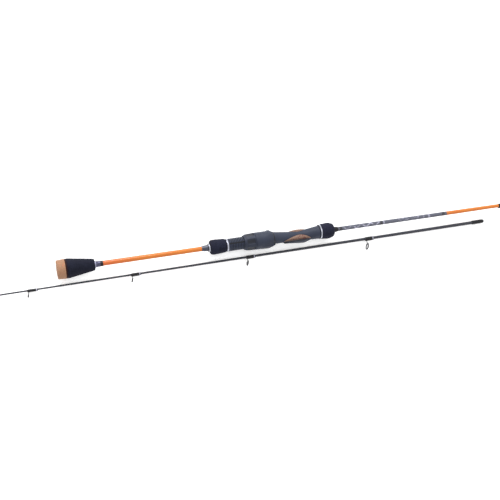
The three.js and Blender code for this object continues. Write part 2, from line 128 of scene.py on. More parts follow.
def take(piece):
    deselect_all()
    piece.select_set(True)
    bpy.context.view_layer.objects.active = piece


def apply_modifiers(piece):
    take(piece)
    for modifier in list(piece.modifiers):
        bpy.ops.object.modifier_apply(modifier=modifier.name)


def edit_all():
    bpy.ops.object.mode_set(mode="EDIT")
    bpy.ops.mesh.select_all(action="SELECT")


def tidy_mesh(distance=MERGE_DISTANCE):
    edit_all()
    bpy.ops.mesh.remove_doubles(threshold=distance)
    bpy.ops.mesh.select_all(action="SELECT")
    bpy.ops.mesh.normals_make_consistent(inside=False)
    bpy.ops.object.mode_set(mode="OBJECT")


def turned(outline, sides=ROUND_SIDES, bore=None):
    """A ring of points extruded from station to station; outline holds (x, radius)."""
    stations = list(outline)
    closed = bore is not None or outline[0] == outline[-1]
    if bore is not None:
        stations += [(outline[-1][0], bore), (outline[0][0], bore), outline[0]]
    deselect_all()
    x, radius = stations[0]
    bpy.ops.mesh.primitive_circle_add(
        vertices=sides, radius=radius, location=(x, 0, 0), rotation=(0, math.pi / 2, 0))
    bpy.ops.object.transform_apply(location=True, rotation=True, scale=True)
    edit_all()
    for (x, radius), (next_x, next_radius) in zip(stations, stations[1:]):
        step = {"value": (next_x - x, 0, 0)}
        bpy.ops.mesh.extrude_region_move(TRANSFORM_OT_translate=step)
        scale = next_radius / radius
        if scale != 1:
            bpy.ops.transform.resize(value=(1, scale, scale), center_override=(next_x, 0, 0))
    if not closed:
        bpy.ops.mesh.select_all(action="SELECT")
        bpy.ops.mesh.fill_holes(sides=0)
    bpy.ops.object.mode_set(mode="OBJECT")
    tidy_mesh(CLOSED_MERGE_DISTANCE if closed else MERGE_DISTANCE)
    return bpy.context.object


def rounded(outline, amount, steps=4):
    """Rounds each inner corner of an outline with a short curve."""
    smooth = [outline[0]]
    for before, corner, after in zip(outline, outline[1:], outline[2:]):
        corner = Vector(corner)
        back, on = Vector(before) - corner, Vector(after) - corner
        back *= min(amount / max(back.length, 1e-9), 0.45)
        on *= min(amount / max(on.length, 1e-9), 0.45)
        for i in range(steps + 1):
            t = i / steps
            point = corner + back * (1 - t) ** 2 + on * t ** 2
            smooth.append((point.x, point.y))
    return smooth + [outline[-1]]


def block(x_range, y_range, z_range):
    deselect_all()
    ranges = (x_range, y_range, z_range)
    middle = [(low + high) / 2 for low, high in ranges]
    bpy.ops.mesh.primitive_cube_add(size=1, location=middle)
    bpy.context.object.scale = [high - low for low, high in ranges]
    bpy.ops.object.transform_apply(location=True, rotation=True, scale=True)
    return bpy.context.object


def boolean(piece, other, operation):
    """Applies one boolean. The exact solver's faces can vary between runs, so an empty result is
    tried again, and is an error if it stays empty."""
    before = piece.data.copy()
    for _ in range(BOOLEAN_TRIES):
        modifier = piece.modifiers.new("cut", "BOOLEAN")
        modifier.operation = operation
        modifier.solver = "EXACT"
        modifier.object = other
        take(piece)
        bpy.ops.object.modifier_apply(modifier=modifier.name)
        if piece.data.polygons:
            break
        piece.data = before.copy()
    else:
        raise RuntimeError(f"{operation} left nothing of {piece.name}")
    bpy.data.objects.remove(other, do_unlink=True)
    return piece


def cut(piece, *others):
    for other in others:
        boolean(piece, other, "DIFFERENCE")
    return piece


def add(piece, *others):
    for other in others:
        boolean(piece, other, "UNION")
    return piece


def only_inside(piece, other):
    return boolean(piece, other, "INTERSECT")


def join_pieces(piece, *others):
    take(piece)
    for other in others:
        other.select_set(True)
    bpy.ops.object.join()
    return piece


def soften_by_remesh(piece, voxel, passes=3):
    """One watertight skin with moulded, softened edges."""
    remesh = piece.modifiers.new("skin", "REMESH")
    remesh.mode = "VOXEL"
    remesh.voxel_size = voxel
    smooth = piece.modifiers.new("soften", "CORRECTIVE_SMOOTH")
    smooth.iterations = passes
    smooth.use_only_smooth = True
    apply_modifiers(piece)
    return piece


def bevel_edges(piece, width, segments=3, angle=30):
    bevel = piece.modifiers.new("edges", "BEVEL")
    bevel.width = width
    bevel.segments = segments
    bevel.limit_method = "ANGLE"
    bevel.angle_limit = math.radians(angle)
    bevel.harden_normals = False
    apply_modifiers(piece)
    return piece


def swept(points, radius, flatten=1.0, resolution=5):
    """A wire through points, made a mesh; flatten squeezes it across the wire's own plane."""
    deselect_all()
    bpy.ops.curve.primitive_bezier_curve_add(location=(0, 0, 0))
    wire = bpy.context.object
    wire.data.dimensions = "3D"
    wire.data.bevel_depth = radius
    wire.data.bevel_resolution = resolution
    wire.data.use_fill_caps = True
    wire.data.resolution_u = 8
    spline = wire.data.splines[0]
    spline.bezier_points.add(len(points) - 2)
    for place, handle in zip(points, spline.bezier_points):
        handle.co = Vector(place)
        handle.handle_left_type = handle.handle_right_type = "AUTO"
    take(wire)
    bpy.ops.object.convert(target="MESH")
    wire = bpy.context.object
    if flatten != 1.0:
        wire.scale = (1, flatten, 1)
        bpy.ops.object.transform_apply(location=True, rotation=True, scale=True)
    tidy_mesh()
    return wire


def move_piece(piece, matrix):
    piece.matrix_world = matrix
    take(piece)
    bpy.ops.object.transform_apply(location=True, rotation=True, scale=True)
    return piece


def finish_piece(piece, name, section, body, nodes, material, smooth_angle=40):
    """Sets a piece in its section and gives it its name, finish, body and CAD nodes."""
    move_piece(piece, section)
    piece.name = name
    piece.data.name = name
    piece.data.materials.clear()
    piece.data.materials.append(material)
    take(piece)
    bpy.ops.object.shade_smooth_by_angle(angle=math.radians(smooth_angle))
    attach(piece, body)
    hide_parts(*nodes)
    return piece


# ---------------------------------------------------------------- finishes


class Finish:
    """A material's nodes, added one at a time."""

    def __init__(self, name, section, colour, roughness, metallic=0.0):
        self.material = bpy.data.materials.new(name)
        self.material.use_nodes = True
        self.tree = self.material.node_tree
        self.shader = self.tree.nodes["Principled BSDF"]
        self.set(self.shader, "Base Color", (*colour, 1))
        self.set(self.shader, "Roughness", roughness)
        self.set(self.shader, "Metallic", metallic)
        self.place = self.own_place(section)

    def node(self, kind, inputs=None, **settings):
        made = self.tree.nodes.new(kind)
        for key, value in settings.items():
            setattr(made, key, value)
        for key, value in (inputs or {}).items():
            self.set(made, key, value)
        return made

    def set(self, node, key, value):
        if isinstance(value, bpy.types.NodeSocket):
            self.tree.links.new(value, node.inputs[key])
        else:
            node.inputs[key].default_value = value

    def own_place(self, section):
        """Coordinates along and across the section, from the object's own."""
        inverse = section.inverted()
        coordinates = self.node("ShaderNodeTexCoord")
        mapping = self.node("ShaderNodeMapping", {
            "Vector": coordinates.outputs["Object"],
            "Location": inverse.translation,
            "Rotation": inverse.to_euler(),
        })
        return mapping.outputs["Vector"]

    def along(self):
        return self.node("ShaderNodeSeparateXYZ", {"Vector": self.place}).outputs["X"]

    def math(self, operation, first, second=0.0, third=0.0):
        made = self.node("ShaderNodeMath", {0: first, 1: second}, operation=operation)
        if operation in ("MULTIPLY_ADD", "COMPARE", "WRAP"):
            self.set(made, 2, third)
        return made.outputs[0]

    def noise(self, scale, detail=2.0, roughness=0.5, vector=None):
        made = self.node("ShaderNodeTexNoise", {
            "Vector": vector or self.place, "Scale": scale, "Detail": detail, "Roughness": roughness})
        return made.outputs["Fac"]

    def ramp(self, factor, *stops, mode="LINEAR"):
        made = self.node("ShaderNodeValToRGB", {"Fac": factor})
        made.color_ramp.interpolation = mode
        while len(made.color_ramp.elements) < len(stops):
            made.color_ramp.elements.new(0.5)
        for element, (position, value) in zip(made.color_ramp.elements, stops):
            element.position = position
            element.color = (value, value, value, 1) if isinstance(value, float) else (*value, 1)
        return made.outputs["Color"]

    def mix(self, factor, first, second):
        made = self.node("ShaderNodeMix", data_type="RGBA")
        self.set(made, 0, factor)
        for index, value in ((6, first), (7, second)):
            self.set(made, index, value if isinstance(value, bpy.types.NodeSocket) else (*value, 1))
        return made.outputs[2]

    def colour(self, socket):
        self.set(self.shader, "Base Color", socket)

    def rough(self, factor, low, high):
        made = self.node("ShaderNodeMapRange", {"Value": factor, "To Min": low, "To Max": high})
        self.set(self.shader, "Roughness", made.outputs["Result"])

    def bump(self, height, strength, distance):
        made = self.node("ShaderNodeBump", {"Height": height, "Strength": strength, "Distance": distance})
        self.set(self.shader, "Normal", made.outputs["Normal"])


def cork_finish(name, section, base, fleck, dark):
    """Composite cork: pressed granules with rubbery orange flecks and dark bark lines."""
    finish = Finish(name, section, base, 0.8)
    warp = finish.node("ShaderNodeTexNoise", {"Vector": finish.place, "Scale": 260.0, "Detail": 2.0})
    shifted = finish.node("ShaderNodeMix", data_type="VECTOR")
    finish.set(shifted, 0, 0.004)
    finish.set(shifted, 4, finish.place)
    finish.set(shifted, 5, warp.outputs["Color"])
    cells = finish.node("ShaderNodeTexVoronoi", {"Vector": shifted.outputs[1], "Scale": 760.0})
    tone = finish.node("ShaderNodeSeparateColor", {"Color": cells.outputs["Color"]})
    lighter = tuple(min(1.0, part * 1.35) for part in base)
    grain = finish.mix(tone.outputs["Red"], base, lighter)
    flecks = finish.ramp(tone.outputs["Green"], (0.0, 0.0), (0.72, 0.0), (0.78, 0.85))
    patches = finish.ramp(finish.noise(85.0), (0.0, 0.15), (0.5, 0.25), (0.62, 1.0))
    orange_share = finish.math("MULTIPLY", flecks, patches)
    with_flecks = finish.mix(orange_share, grain, fleck)
    edges = finish.node("ShaderNodeTexVoronoi", {"Vector": shifted.outputs[1], "Scale": 760.0},
                        feature="DISTANCE_TO_EDGE")
    bark = finish.ramp(edges.outputs["Distance"], (0.0, 0.45), (0.08, 0.1), (0.16, 0.0))
    finish.colour(finish.mix(bark, with_flecks, dark))
    finish.rough(tone.outputs["Blue"], 0.65, 0.9)
    finish.bump(finish.math("ADD", edges.outputs["Distance"], finish.noise(1800.0)), 0.25, 0.3 * MM)
    return finish.material


def foam_finish(name, section, colour):
    """Closed-cell EVA foam: tiny pits, a dull sheen, a slightly worn tone."""
    finish = Finish(name, section, colour, 0.85)
    cells = finish.node("ShaderNodeTexVoronoi", {"Vector": finish.place, "Scale": 2200.0})
    fine = finish.noise(3000.0, 3.0)
    worn = finish.noise(70.0, 3.0)
    lighter = tuple(part * 1.7 for part in colour)
    darker = tuple(part * 0.75 for part in colour)
    tone = finish.mix(finish.ramp(worn, (0.3, 0.0), (0.75, 1.0)), darker, lighter)
    speckle = finish.ramp(finish.noise(900.0, 3.0, 0.7), (0.45, 0.0), (0.7, 0.8))
    finish.colour(finish.mix(speckle, tone, tuple(part * 3.2 for part in colour)))
    finish.rough(fine, 0.7, 0.95)
    pits = finish.math("MULTIPLY_ADD", cells.outputs["Distance"], 0.6, fine)
    finish.bump(pits, 0.35, 0.25 * MM)
    finish.set(finish.shader, "Specular IOR Level", 0.12)
    return finish.material


def plastic_finish(name, section, colour, dark=None):
    """Moulded nylon with a satin, very finely grained skin; dark gives a mask of painted shade, darkening the skin
    in recesses and under parts.
    """
    finish = Finish(name, section, colour, 0.5)
    grain = finish.noise(2600.0, 2.0)
    cloud = finish.noise(60.0, 3.0)
    lighter = tuple(part * 1.25 for part in colour)
    skin = finish.mix(finish.ramp(cloud, (0.35, 0.0), (0.7, 1.0)), colour, lighter)
    # painted shade: where the dark mask is 1, the skin is darkened to 0.12 of its colour
    finish.colour(finish.mix(dark(finish), skin, tuple(part * 0.12 for part in colour)) if dark else skin)
    finish.rough(grain, 0.42, 0.6)
    finish.bump(grain, 0.12, 0.12 * MM)
    finish.set(finish.shader, "Specular IOR Level", 0.25)
    return finish.material


def polished_finish(name, section, colour, roughness, bright=None):
    """Turned metal: faint lathe lines round the piece; bright is the band left at full metal colour, and outside
    it the metal is painted dark as shade, so light seems to catch only that band.
    """
    finish = Finish(name, section, colour, roughness, 1.0)
    # painted shade: outside the bright band the metal colour drops to a tenth
    if bright:
        run = band_mask(finish, finish.along(), *bright, 0.15 * MM)
        finish.colour(finish.mix(run, tuple(part * 0.1 for part in colour), colour))
    lines = finish.noise(1.0, 3.0, 0.6, finish.node("ShaderNodeCombineXYZ", {
        "X": finish.math("MULTIPLY", finish.along(), 5200.0)}).outputs["Vector"])
    finish.rough(lines, roughness * 0.7, roughness * 1.5)
    finish.bump(lines, 0.05, 0.05 * MM)
    return finish.material


def lacquer(finish, coat=0.25, coat_roughness=0.15):
    finish.set(finish.shader, "Coat Weight", coat)
    finish.set(finish.shader, "Coat Roughness", coat_roughness)
    finish.set(finish.shader, "Specular IOR Level", 0.2)


def band_mask(finish, x, start, end, feather=0.3 * MM):
    """1 between two stations along the rod, 0 outside."""
    rise = finish.node("ShaderNodeMapRange", {
        "Value": x, "From Min": start, "From Max": start + feather}).outputs["Result"]
    fall = finish.node("ShaderNodeMapRange", {
        "Value": x, "From Min": end, "From Max": end + feather, "To Min": 1.0, "To Max": 0.0})
    return finish.math("MULTIPLY", rise, fall.outputs["Result"])


def butt_blank_finish(settings):
    """Orange lacquer, with a dark stretch ahead of the handle that carries a plain pale inlay."""
    finish = Finish("butt_blank_lacquer", BUTT, settings.orange, 0.3)
    x = finish.along()
    parts = finish.node("ShaderNodeSeparateXYZ", {"Vector": finish.place})
    cloud = finish.noise(35.0, 2.0)
    deep = tuple(part * share for part, share in zip(settings.orange, (0.86, 0.62, 0.5)))
    orange = finish.mix(finish.ramp(cloud, (0.35, 0.0), (0.7, 0.45)), settings.orange, deep)
    red_end = finish.node("ShaderNodeMapRange", {
        "Value": x, "From Min": 60 * MM, "From Max": 115 * MM, "To Min": 0.75, "To Max": 0.0})
    orange = finish.mix(red_end.outputs["Result"], orange, (0.42, 0.075, 0.022))
    weave = finish.noise(900.0, 2.0)
    dark = finish.mix(weave, settings.dark_blank, tuple(part * 1.5 for part in settings.dark_blank))
    pale = (0.26, 0.26, 0.33)
    # Long slanted strokes that cross each other round the blank
    angle = finish.math("ARCTAN2", parts.outputs["Y"], parts.outputs["Z"])
    strokes = None
    for slant in (1.0, -1.0):
        phase = finish.math("MULTIPLY_ADD", x, 190.0 * slant, angle)
        wave = finish.math("SINE", finish.math("MULTIPLY", phase, 2.0))
        stroke = finish.ramp(wave, (0.0, 0.0), (0.72, 0.0), (0.92, 1.0))
        strokes = stroke if strokes is None else finish.math("MAXIMUM", strokes, stroke)
    broken = finish.math("MULTIPLY", strokes,
        finish.ramp(finish.noise(110.0, 3.0), (0.42, 0.15), (0.55, 1.0)))
    inlay = finish.math("MULTIPLY", broken, band_mask(finish, x, 434 * MM, 500 * MM, 8 * MM))
    # A run of short dashes, then two chevrons before the orange returns
    dashes = finish.node("ShaderNodeTexVoronoi", {"Vector": finish.node("ShaderNodeMapping", {
        "Vector": finish.place, "Scale": (1.0, 2.6, 2.6)}).outputs["Vector"], "Scale": 230.0})
    dash = finish.ramp(dashes.outputs["Distance"], (0.0, 1.0), (0.32, 0.7), (0.42, 0.0))
    run = finish.math("MULTIPLY", dash, band_mask(finish, x, 537 * MM, 584 * MM))
    chevrons = finish.math("MAXIMUM", band_mask(finish, x, 590 * MM, 593 * MM, 2 * MM),
                           band_mask(finish, x, 510 * MM, 512 * MM))
    shares = finish.math("MAXIMUM", inlay, finish.math("MULTIPLY", run, 0.75))
    shares = finish.math("MAXIMUM", shares, finish.math("MULTIPLY", chevrons, 0.8))
    dark = finish.mix(shares, dark, pale)
    spots = finish.math("MAXIMUM", band_mask(finish, x, 434 * MM, 438 * MM, MM),
                        finish.math("MAXIMUM", band_mask(finish, x, 504 * MM, 508 * MM, MM),
                                    band_mask(finish, x, 616 * MM, 621 * MM, MM)))
    dark = finish.mix(finish.math("MULTIPLY", spots, 0.8), dark, (0.012, 0.01, 0.012))
    dark_part = finish.math("MAXIMUM", band_mask(finish, x, 423 * MM, 625.5 * MM),
                            band_mask(finish, x, 730 * MM, SECTION_LENGTH + 1))
    finish.colour(finish.mix(dark_part, orange, dark))
    finish.rough(cloud, 0.22, 0.38)
    finish.bump(finish.noise(260.0), 0.03, 0.2 * MM)
    lacquer(finish)
    return finish.material


def tip_blank_finish(settings):
    """Dark satin blank with the faint taped ridges of its rolled fibre."""
    tone = tuple(part * 0.45 for part in settings.dark_blank)
    finish = Finish("tip_blank_lacquer", TIP, tone, 0.4)
    x = finish.along()
    ridges = finish.math("SINE", finish.math("MULTIPLY", x, 2 * math.pi / (2.2 * MM)))
    cloud = finish.noise(45.0, 2.0)
    finish.colour(finish.mix(cloud, tuple(part * 0.7 for part in tone), tuple(part * 1.3 for part in tone)))
    finish.rough(cloud, 0.32, 0.5)
    finish.bump(ridges, 0.06, 0.05 * MM)
    lacquer(finish, 0.1)
    return finish.material


def wrap_finish(name, section, pale_bands=()):
    """Black winding thread under clear resin, with a few turns of pale thread at each of pale_bands."""
    finish = Finish(name, section, (0.01, 0.01, 0.014), 0.35)
    turns = finish.math("SINE", finish.math("MULTIPLY", finish.along(), 2 * math.pi / (0.35 * MM)))
    thread = finish.mix(finish.math("MULTIPLY_ADD", turns, 0.5, 0.5), (0.002, 0.002, 0.003),
        (0.008, 0.008, 0.01))
    for start, end in pale_bands:
        thread = finish.mix(band_mask(finish, finish.along(), start, end, 0.2 * MM), thread, (0.3, 0.3, 0.36))
    finish.colour(thread)
    finish.rough(finish.noise(800.0), 0.3, 0.45)
    finish.bump(turns, 0.15, 0.04 * MM)
    lacquer(finish, 0.05)
    return finish.material


def wire_finish(name, section):
    """Black-chromed wire with worn, brighter high spots."""
    finish = Finish(name, section, (0.03, 0.03, 0.036), 0.35, 0.4)
    worn = finish.noise(420.0, 3.0)
    finish.colour(finish.mix(finish.ramp(worn, (0.5, 0.0), (0.75, 0.5)), (0.008, 0.008, 0.01),
                             (0.04, 0.04, 0.045)))
    finish.rough(worn, 0.22, 0.42)
    finish.bump(worn, 0.05, 0.05 * MM)
    return finish.material


def ceramic_finish(name, section):
    finish = Finish(name, section, (0.03, 0.03, 0.035), 0.12)
    cloud = finish.noise(300.0, 2.0)
    finish.colour(finish.mix(cloud, (0.07, 0.07, 0.078), (0.12, 0.12, 0.13)))
    finish.rough(cloud, 0.08, 0.18)
    finish.bump(cloud, 0.02, 0.05 * MM)
    return finish.material


def trim_finish(settings):
    """Dark red-brown rubbery disc, layered thinly across its width."""
    finish = Finish("trim_ring_rubber", BUTT, settings.trim, 0.55)
    layers = finish.math("SINE", finish.math("MULTIPLY", finish.along(), 2 * math.pi / (0.9 * MM)))
    finish.colour(finish.mix(finish.math("MULTIPLY_ADD", layers, 0.5, 0.5), settings.trim,
                             tuple(part * 0.5 for part in settings.trim)))
    finish.rough(finish.noise(1200.0), 0.45, 0.65)
    finish.bump(finish.noise(1600.0), 0.1, 0.1 * MM)
    finish.set(finish.shader, "Specular IOR Level", 0.1)
    return finish.material


def bushing_finish():
    finish = Finish("bushing_board", BUTT, (0.62, 0.57, 0.45), 0.9)
    grain = finish.noise(900.0, 3.0)
    finish.colour(finish.mix(grain, (0.5, 0.45, 0.34), (0.7, 0.66, 0.54)))
    finish.rough(grain, 0.8, 0.95)
    finish.bump(grain, 0.2, 0.1 * MM)
    return finish.material


# ---------------------------------------------------------------- settings


class RodSettings(bpy.types.PropertyGroup):
    """Sizes and colours of the rod's finishes."""

    cork: bpy.props.FloatVectorProperty(
        name="Cork", description="Main tone of the composite cork", subtype="COLOR", size=3,
        default=(0.20, 0.105, 0.055))
    cork_fleck: bpy.props.FloatVectorProperty(
        name="Cork fleck", description="Rubbery orange granules in the cork", subtype="COLOR", size=3,
        default=(0.32, 0.11, 0.05))
    foam: bpy.props.FloatVectorProperty(
        name="Foam", description="Colour of the foam grips", subtype="COLOR", size=3,
        default=(0.0035, 0.004, 0.0085))
    orange: bpy.props.FloatVectorProperty(
        name="Orange lacquer", description="Colour of the painted blank", subtype="COLOR", size=3,
        default=(0.44, 0.128, 0.014))
    dark_blank: bpy.props.FloatVectorProperty(
        name="Dark blank", description="Colour of the unpainted blank", subtype="COLOR", size=3,
        default=(0.052, 0.054, 0.072))
    seat: bpy.props.FloatVectorProperty(
        name="Reel seat", description="Colour of the moulded seat, nut and hood", subtype="COLOR", size=3,
        default=(0.013, 0.017, 0.031))
    trim: bpy.props.FloatVectorProperty(
        name="Trim ring", description="Colour of the disc behind the butt grip", subtype="COLOR", size=3,
        default=(0.02, 0.004, 0.004))
    silver: bpy.props.FloatVectorProperty(
        name="Trim metal", description="Colour of the bright rings", subtype="COLOR", size=3,
        default=(0.36, 0.37, 0.43))
    edge_round: bpy.props.FloatProperty(
        name="Edge rounding", description="Radius worked on a metal ring's edges", unit="LENGTH",
        default=0.3 * MM, min=0.05 * MM, max=1 * MM)
    thread_depth: bpy.props.FloatProperty(
        name="Thread depth", description="Depth of the barrel's thread", unit="LENGTH",
        default=0.85 * MM, min=0.2 * MM, max=1.5 * MM)
    seat_voxel: bpy.props.FloatProperty(
        name="Seat skin", description="Fineness of the moulded seat's skin", unit="LENGTH",
        default=0.36 * MM, min=0.2 * MM, max=1 * MM)


# ---------------------------------------------------------------- the handle's pieces


def ring_outline(start, end, radius, edge):
    return rounded([(start, radius - edge * 2), (start, radius), (end, radius), (end, radius - edge * 2)],
        edge)


class ROD_OT_butt_grip(bpy.types.Operator):
    """Cork cap, trim ring, conical foam grip and winding check at the butt end"""

    bl_idname = "rod.butt_grip"
    bl_label = "Butt grip"

    def execute(self, context):
        settings = context.scene.rod_settings
        bore = span("butt_check", BUTT)[2] - 1.2 * MM
        start, end, radius = span("butt_cap", BUTT)
        cap = turned(rounded([
            (start, 3 * MM), (start, radius - 1.2 * MM), (start + 1.0 * MM, radius - 0.6 * MM),
            (end - 0.5 * MM, radius), (end, radius - 0.25 * MM), (end, 3 * MM)], 0.6 * MM))
        cork = cork_finish("butt_cork", BUTT, tuple(settings.cork), tuple(settings.cork_fleck),
            (0.2, 0.09, 0.05))
        finish_piece(cap, "cork_cap", BUTT, "butt_section", ["butt_cap"], cork)
        start, end, radius = span("butt_trim_ring", BUTT)
        ring = turned(ring_outline(start, end, radius, settings.edge_round), bore=bore)
        finish_piece(ring, "trim_disc", BUTT, "butt_section", ["butt_trim_ring"],
                     trim_finish(settings))
        start, end, radius = span("butt_grip", BUTT)
        nose = end - 3.6 * MM
        grip = turned(rounded([
            (start, radius - 0.5 * MM), (start, radius), (start + 1.8 * MM, radius),
            (nose, 9.0 * MM), (end - 0.3 * MM, 8.2 * MM), (end, 6.8 * MM), (end, 6 * MM)], 1.5 * MM, 6),
            bore=bore)
        finish_piece(grip, "butt_foam_grip", BUTT, "butt_section", ["butt_grip"],
                     foam_finish("butt_foam", BUTT, tuple(settings.foam)))
        start, end, radius = span("butt_check", BUTT)
        step = (end - start) / 12.5
        check = turned(rounded([
            (start, radius), (start + step, radius), (start + step, radius - 0.55 * MM),
            (start + 4.5 * step, radius - 0.75 * MM), (start + 4.7 * step, radius - 1.0 * MM),
            (start + 5.1 * step, radius - 1.0 * MM), (start + 5.3 * step, radius - 0.72 * MM),
            (start + 8.2 * step, radius - 0.9 * MM), (end, 4.1 * MM)], 0.15 * MM, 2), bore=3.9 * MM)
        finish_piece(check, "butt_winding_check", BUTT, "butt_section", ["butt_check"],
                     self.check_finish(start + 8.2 * step, start + 1.2 * step))
        return {"FINISHED"}

    def check_finish(self, dark_from, bright_to):
        """Anodised collar: a bright lilac flange, a dusky middle and a black nose."""
        finish = Finish("butt_check_metal", BUTT, (0.2, 0.2, 0.3), 0.3, 0.8)
        x = finish.along()
        nose = band_mask(finish, x, dark_from, dark_from + 1)
        flange = band_mask(finish, x, 0.0, bright_to)
        body = finish.mix(finish.noise(300.0), (0.03, 0.03, 0.055), (0.09, 0.09, 0.14))
        body = finish.mix(flange, body, (0.25, 0.25, 0.34))
        finish.colour(finish.mix(nose, body, (0.015, 0.014, 0.016)))
        finish.rough(finish.noise(700.0), 0.25, 0.4)
        finish.bump(finish.noise(900.0), 0.05, 0.05 * MM)
        return finish.material


class ROD_OT_rear_grip(bpy.types.Operator):
    """Short foam grip behind the reel seat, between its two bright rings"""

    bl_idname = "rod.rear_grip"
    bl_label = "Rear grip"

    def execute(self, context):
        settings = context.scene.rod_settings
        bore = 3.72 * MM
        start, end, radius = span("rear_check", BUTT)
        check = turned(rounded([
            (start, radius - 1.05 * MM), (start + 0.6 * MM, radius - 0.85 * MM),
            (start + 3 * MM, radius - 0.75 * MM),
            (start + 3.4 * MM, radius - 0.5 * MM), (end, radius)], 0.2 * MM, 2), bore=bore)
        finish = Finish("rear_check_metal", BUTT, (0.04, 0.045, 0.07), 0.35, 0.4)
        finish.colour(finish.mix(finish.noise(260.0), (0.012, 0.013, 0.02), (0.06, 0.065, 0.095)))
        finish.rough(finish.noise(700.0), 0.25, 0.4)
        finish.bump(finish.noise(900.0), 0.05, 0.05 * MM)
        finish_piece(check, "rear_winding_check", BUTT, "butt_section", ["rear_check"],
                     finish.material)
        for node, name in (("rear_grip_back_ring", "rear_ring_back"),
                ("rear_grip_front_ring", "rear_ring_front")):
            start, end, radius = span(node, BUTT)
            # the ring keeps its full colour only on a middle band; its edges are painted dark as shade
            silver = polished_finish(name + "_silver", BUTT, tuple(settings.silver), 0.16,
                                     (start + 0.5 * MM, end - 1.0 * MM))
            ring = turned(ring_outline(start, end, radius, settings.edge_round * 2), bore=bore)
            finish_piece(ring, name, BUTT, "butt_section", [node], silver)
        start, end, radius = span("rear_grip", BUTT)
        length = end - start
        grip = turned(rounded([
            (start, 6.2 * MM), (start, radius - 1.6 * MM), (start + 2.2 * MM, radius - 0.1 * MM),
            (start + 0.28 * length, radius), (start + 0.62 * length, radius - 0.45 * MM),
            (end - 1.6 * MM, radius - 1.0 * MM), (end, radius - 2.2 * MM), (end, 6.2 * MM)], 1.8 * MM, 6),
            bore=bore)
        finish_piece(grip, "rear_foam_grip", BUTT, "butt_section", ["rear_grip"],
                     foam_finish("rear_foam", BUTT, tuple(part * 1.5 for part in settings.foam)))
        return {"FINISHED"}


class ROD_OT_fore_grip(bpy.types.Operator):
    """Bright ring, short foam grip and black check ahead of the reel seat"""

    bl_idname = "rod.fore_grip"
    bl_label = "Fore grip"

    def execute(self, context):
        settings = context.scene.rod_settings
        bore = 3.5 * MM
        start, end, radius = span("fore_grip_ring", BUTT)
        ring = turned(ring_outline(start, end, radius, settings.edge_round * 2), bore=bore)
        # the ring keeps its full colour only on a middle band; its edges are painted dark as shade
        finish_piece(ring, "fore_ring", BUTT, "butt_section", ["fore_grip_ring"],
                     polished_finish("fore_ring_silver", BUTT, tuple(settings.silver), 0.16,
                                     (start + 0.6 * MM, end - 0.7 * MM)))
        start, end, radius = span("fore_grip", BUTT)
        grip = turned(rounded([
            (start, 8 * MM), (start, radius - 1.1 * MM), (start + 5.9 * MM, radius - 0.55 * MM),
            (start + 11.5 * MM, radius), (start + 14.8 * MM, radius - 0.5 * MM),
            (end - 0.8 * MM, radius - 2.4 * MM),
            (end, radius - 4.6 * MM), (end, 5 * MM)], 2.0 * MM, 6), bore=bore)
        finish_piece(grip, "fore_foam_grip", BUTT, "butt_section", ["fore_grip"],
                     foam_finish("fore_foam", BUTT, tuple(part * 1.6 for part in settings.foam)))
        start, end, radius = span("fore_check", BUTT)
        check = turned(rounded([
            (start, radius - 0.3 * MM), (start + 0.8 * MM, radius), (start + 2.2 * MM, radius - 0.15 * MM),
            (end - 1 * MM, 3.9 * MM), (end, 3.65 * MM)], 0.4 * MM, 3), bore=bore)
        finish_piece(check, "fore_winding_check", BUTT, "butt_section", ["fore_check"],
                     wrap_finish("fore_check_thread", BUTT))
        return {"FINISHED"}


# ---------------------------------------------------------------- the reel seat

# Stations of the skeleton fore-body, in millimetres: distance from the butt end, and radius on each side
PALM_SIDE = ((325.2, 10.0), (332.5, 9.0), (339, 8.1), (345.3, 7.4), (353, 6.8), (360.4, 6.6), (369, 6.6),
             (377.8, 7.2), (385.5, 8.1), (394.3, 9.3), (399, 9.9))
FOOT_SIDE = ((325.2, 10.0), (376.7, 10.1), (385, 10.1), (399, 10.5))
FORE_START, FORE_END = PALM_SIDE[0][0], PALM_SIDE[-1][0]
# Outer radius of each blank along its section, in millimetres
BUTT_TAPER = ((4, 3.9), (211, 3.63), (625, 3.25), (1090, 1.95))
TIP_TAPER = ((1, 0.75), (497, 1.43), (978, 2.47), (1090, 2.75))
# Windows, in millimetres: degrees from the foot side, middle, half length, arch, skew, tips and base
SIDE_WINDOW = (56, 360.3, 24.7, 4.2, 8.0, -3.9, -4.3)
PALM_WINDOW = (180, 364, 14, 4.2, 0.0, 0.0, -4.2)


def height_at(stations, x):
    """The height at x of straight runs through stations."""
    for (x0, y0), (x1, y1) in zip(stations, stations[1:]):
        if x <= x1:
            share = min(max((x - x0) / (x1 - x0), 0), 1)
            return y0 + (y1 - y0) * share
    return stations[-1][1]


def fore_radius(x, from_palm):
    share = ((1 - math.cos(from_palm)) / 2) ** 1.5
    palm = height_at(PALM_SIDE, x / MM)
    foot = height_at(FOOT_SIDE, x / MM)
    return (palm + share * (foot - palm)) * MM


def curve(first, pull, last, steps=14):
    """Points of a quadratic curve, without its last one."""
    for i in range(steps):
        t = i / steps
        yield tuple(a * (1 - t) ** 2 + 2 * b * t * (1 - t) + c * t ** 2 for a, b, c in zip(first, pull, last))


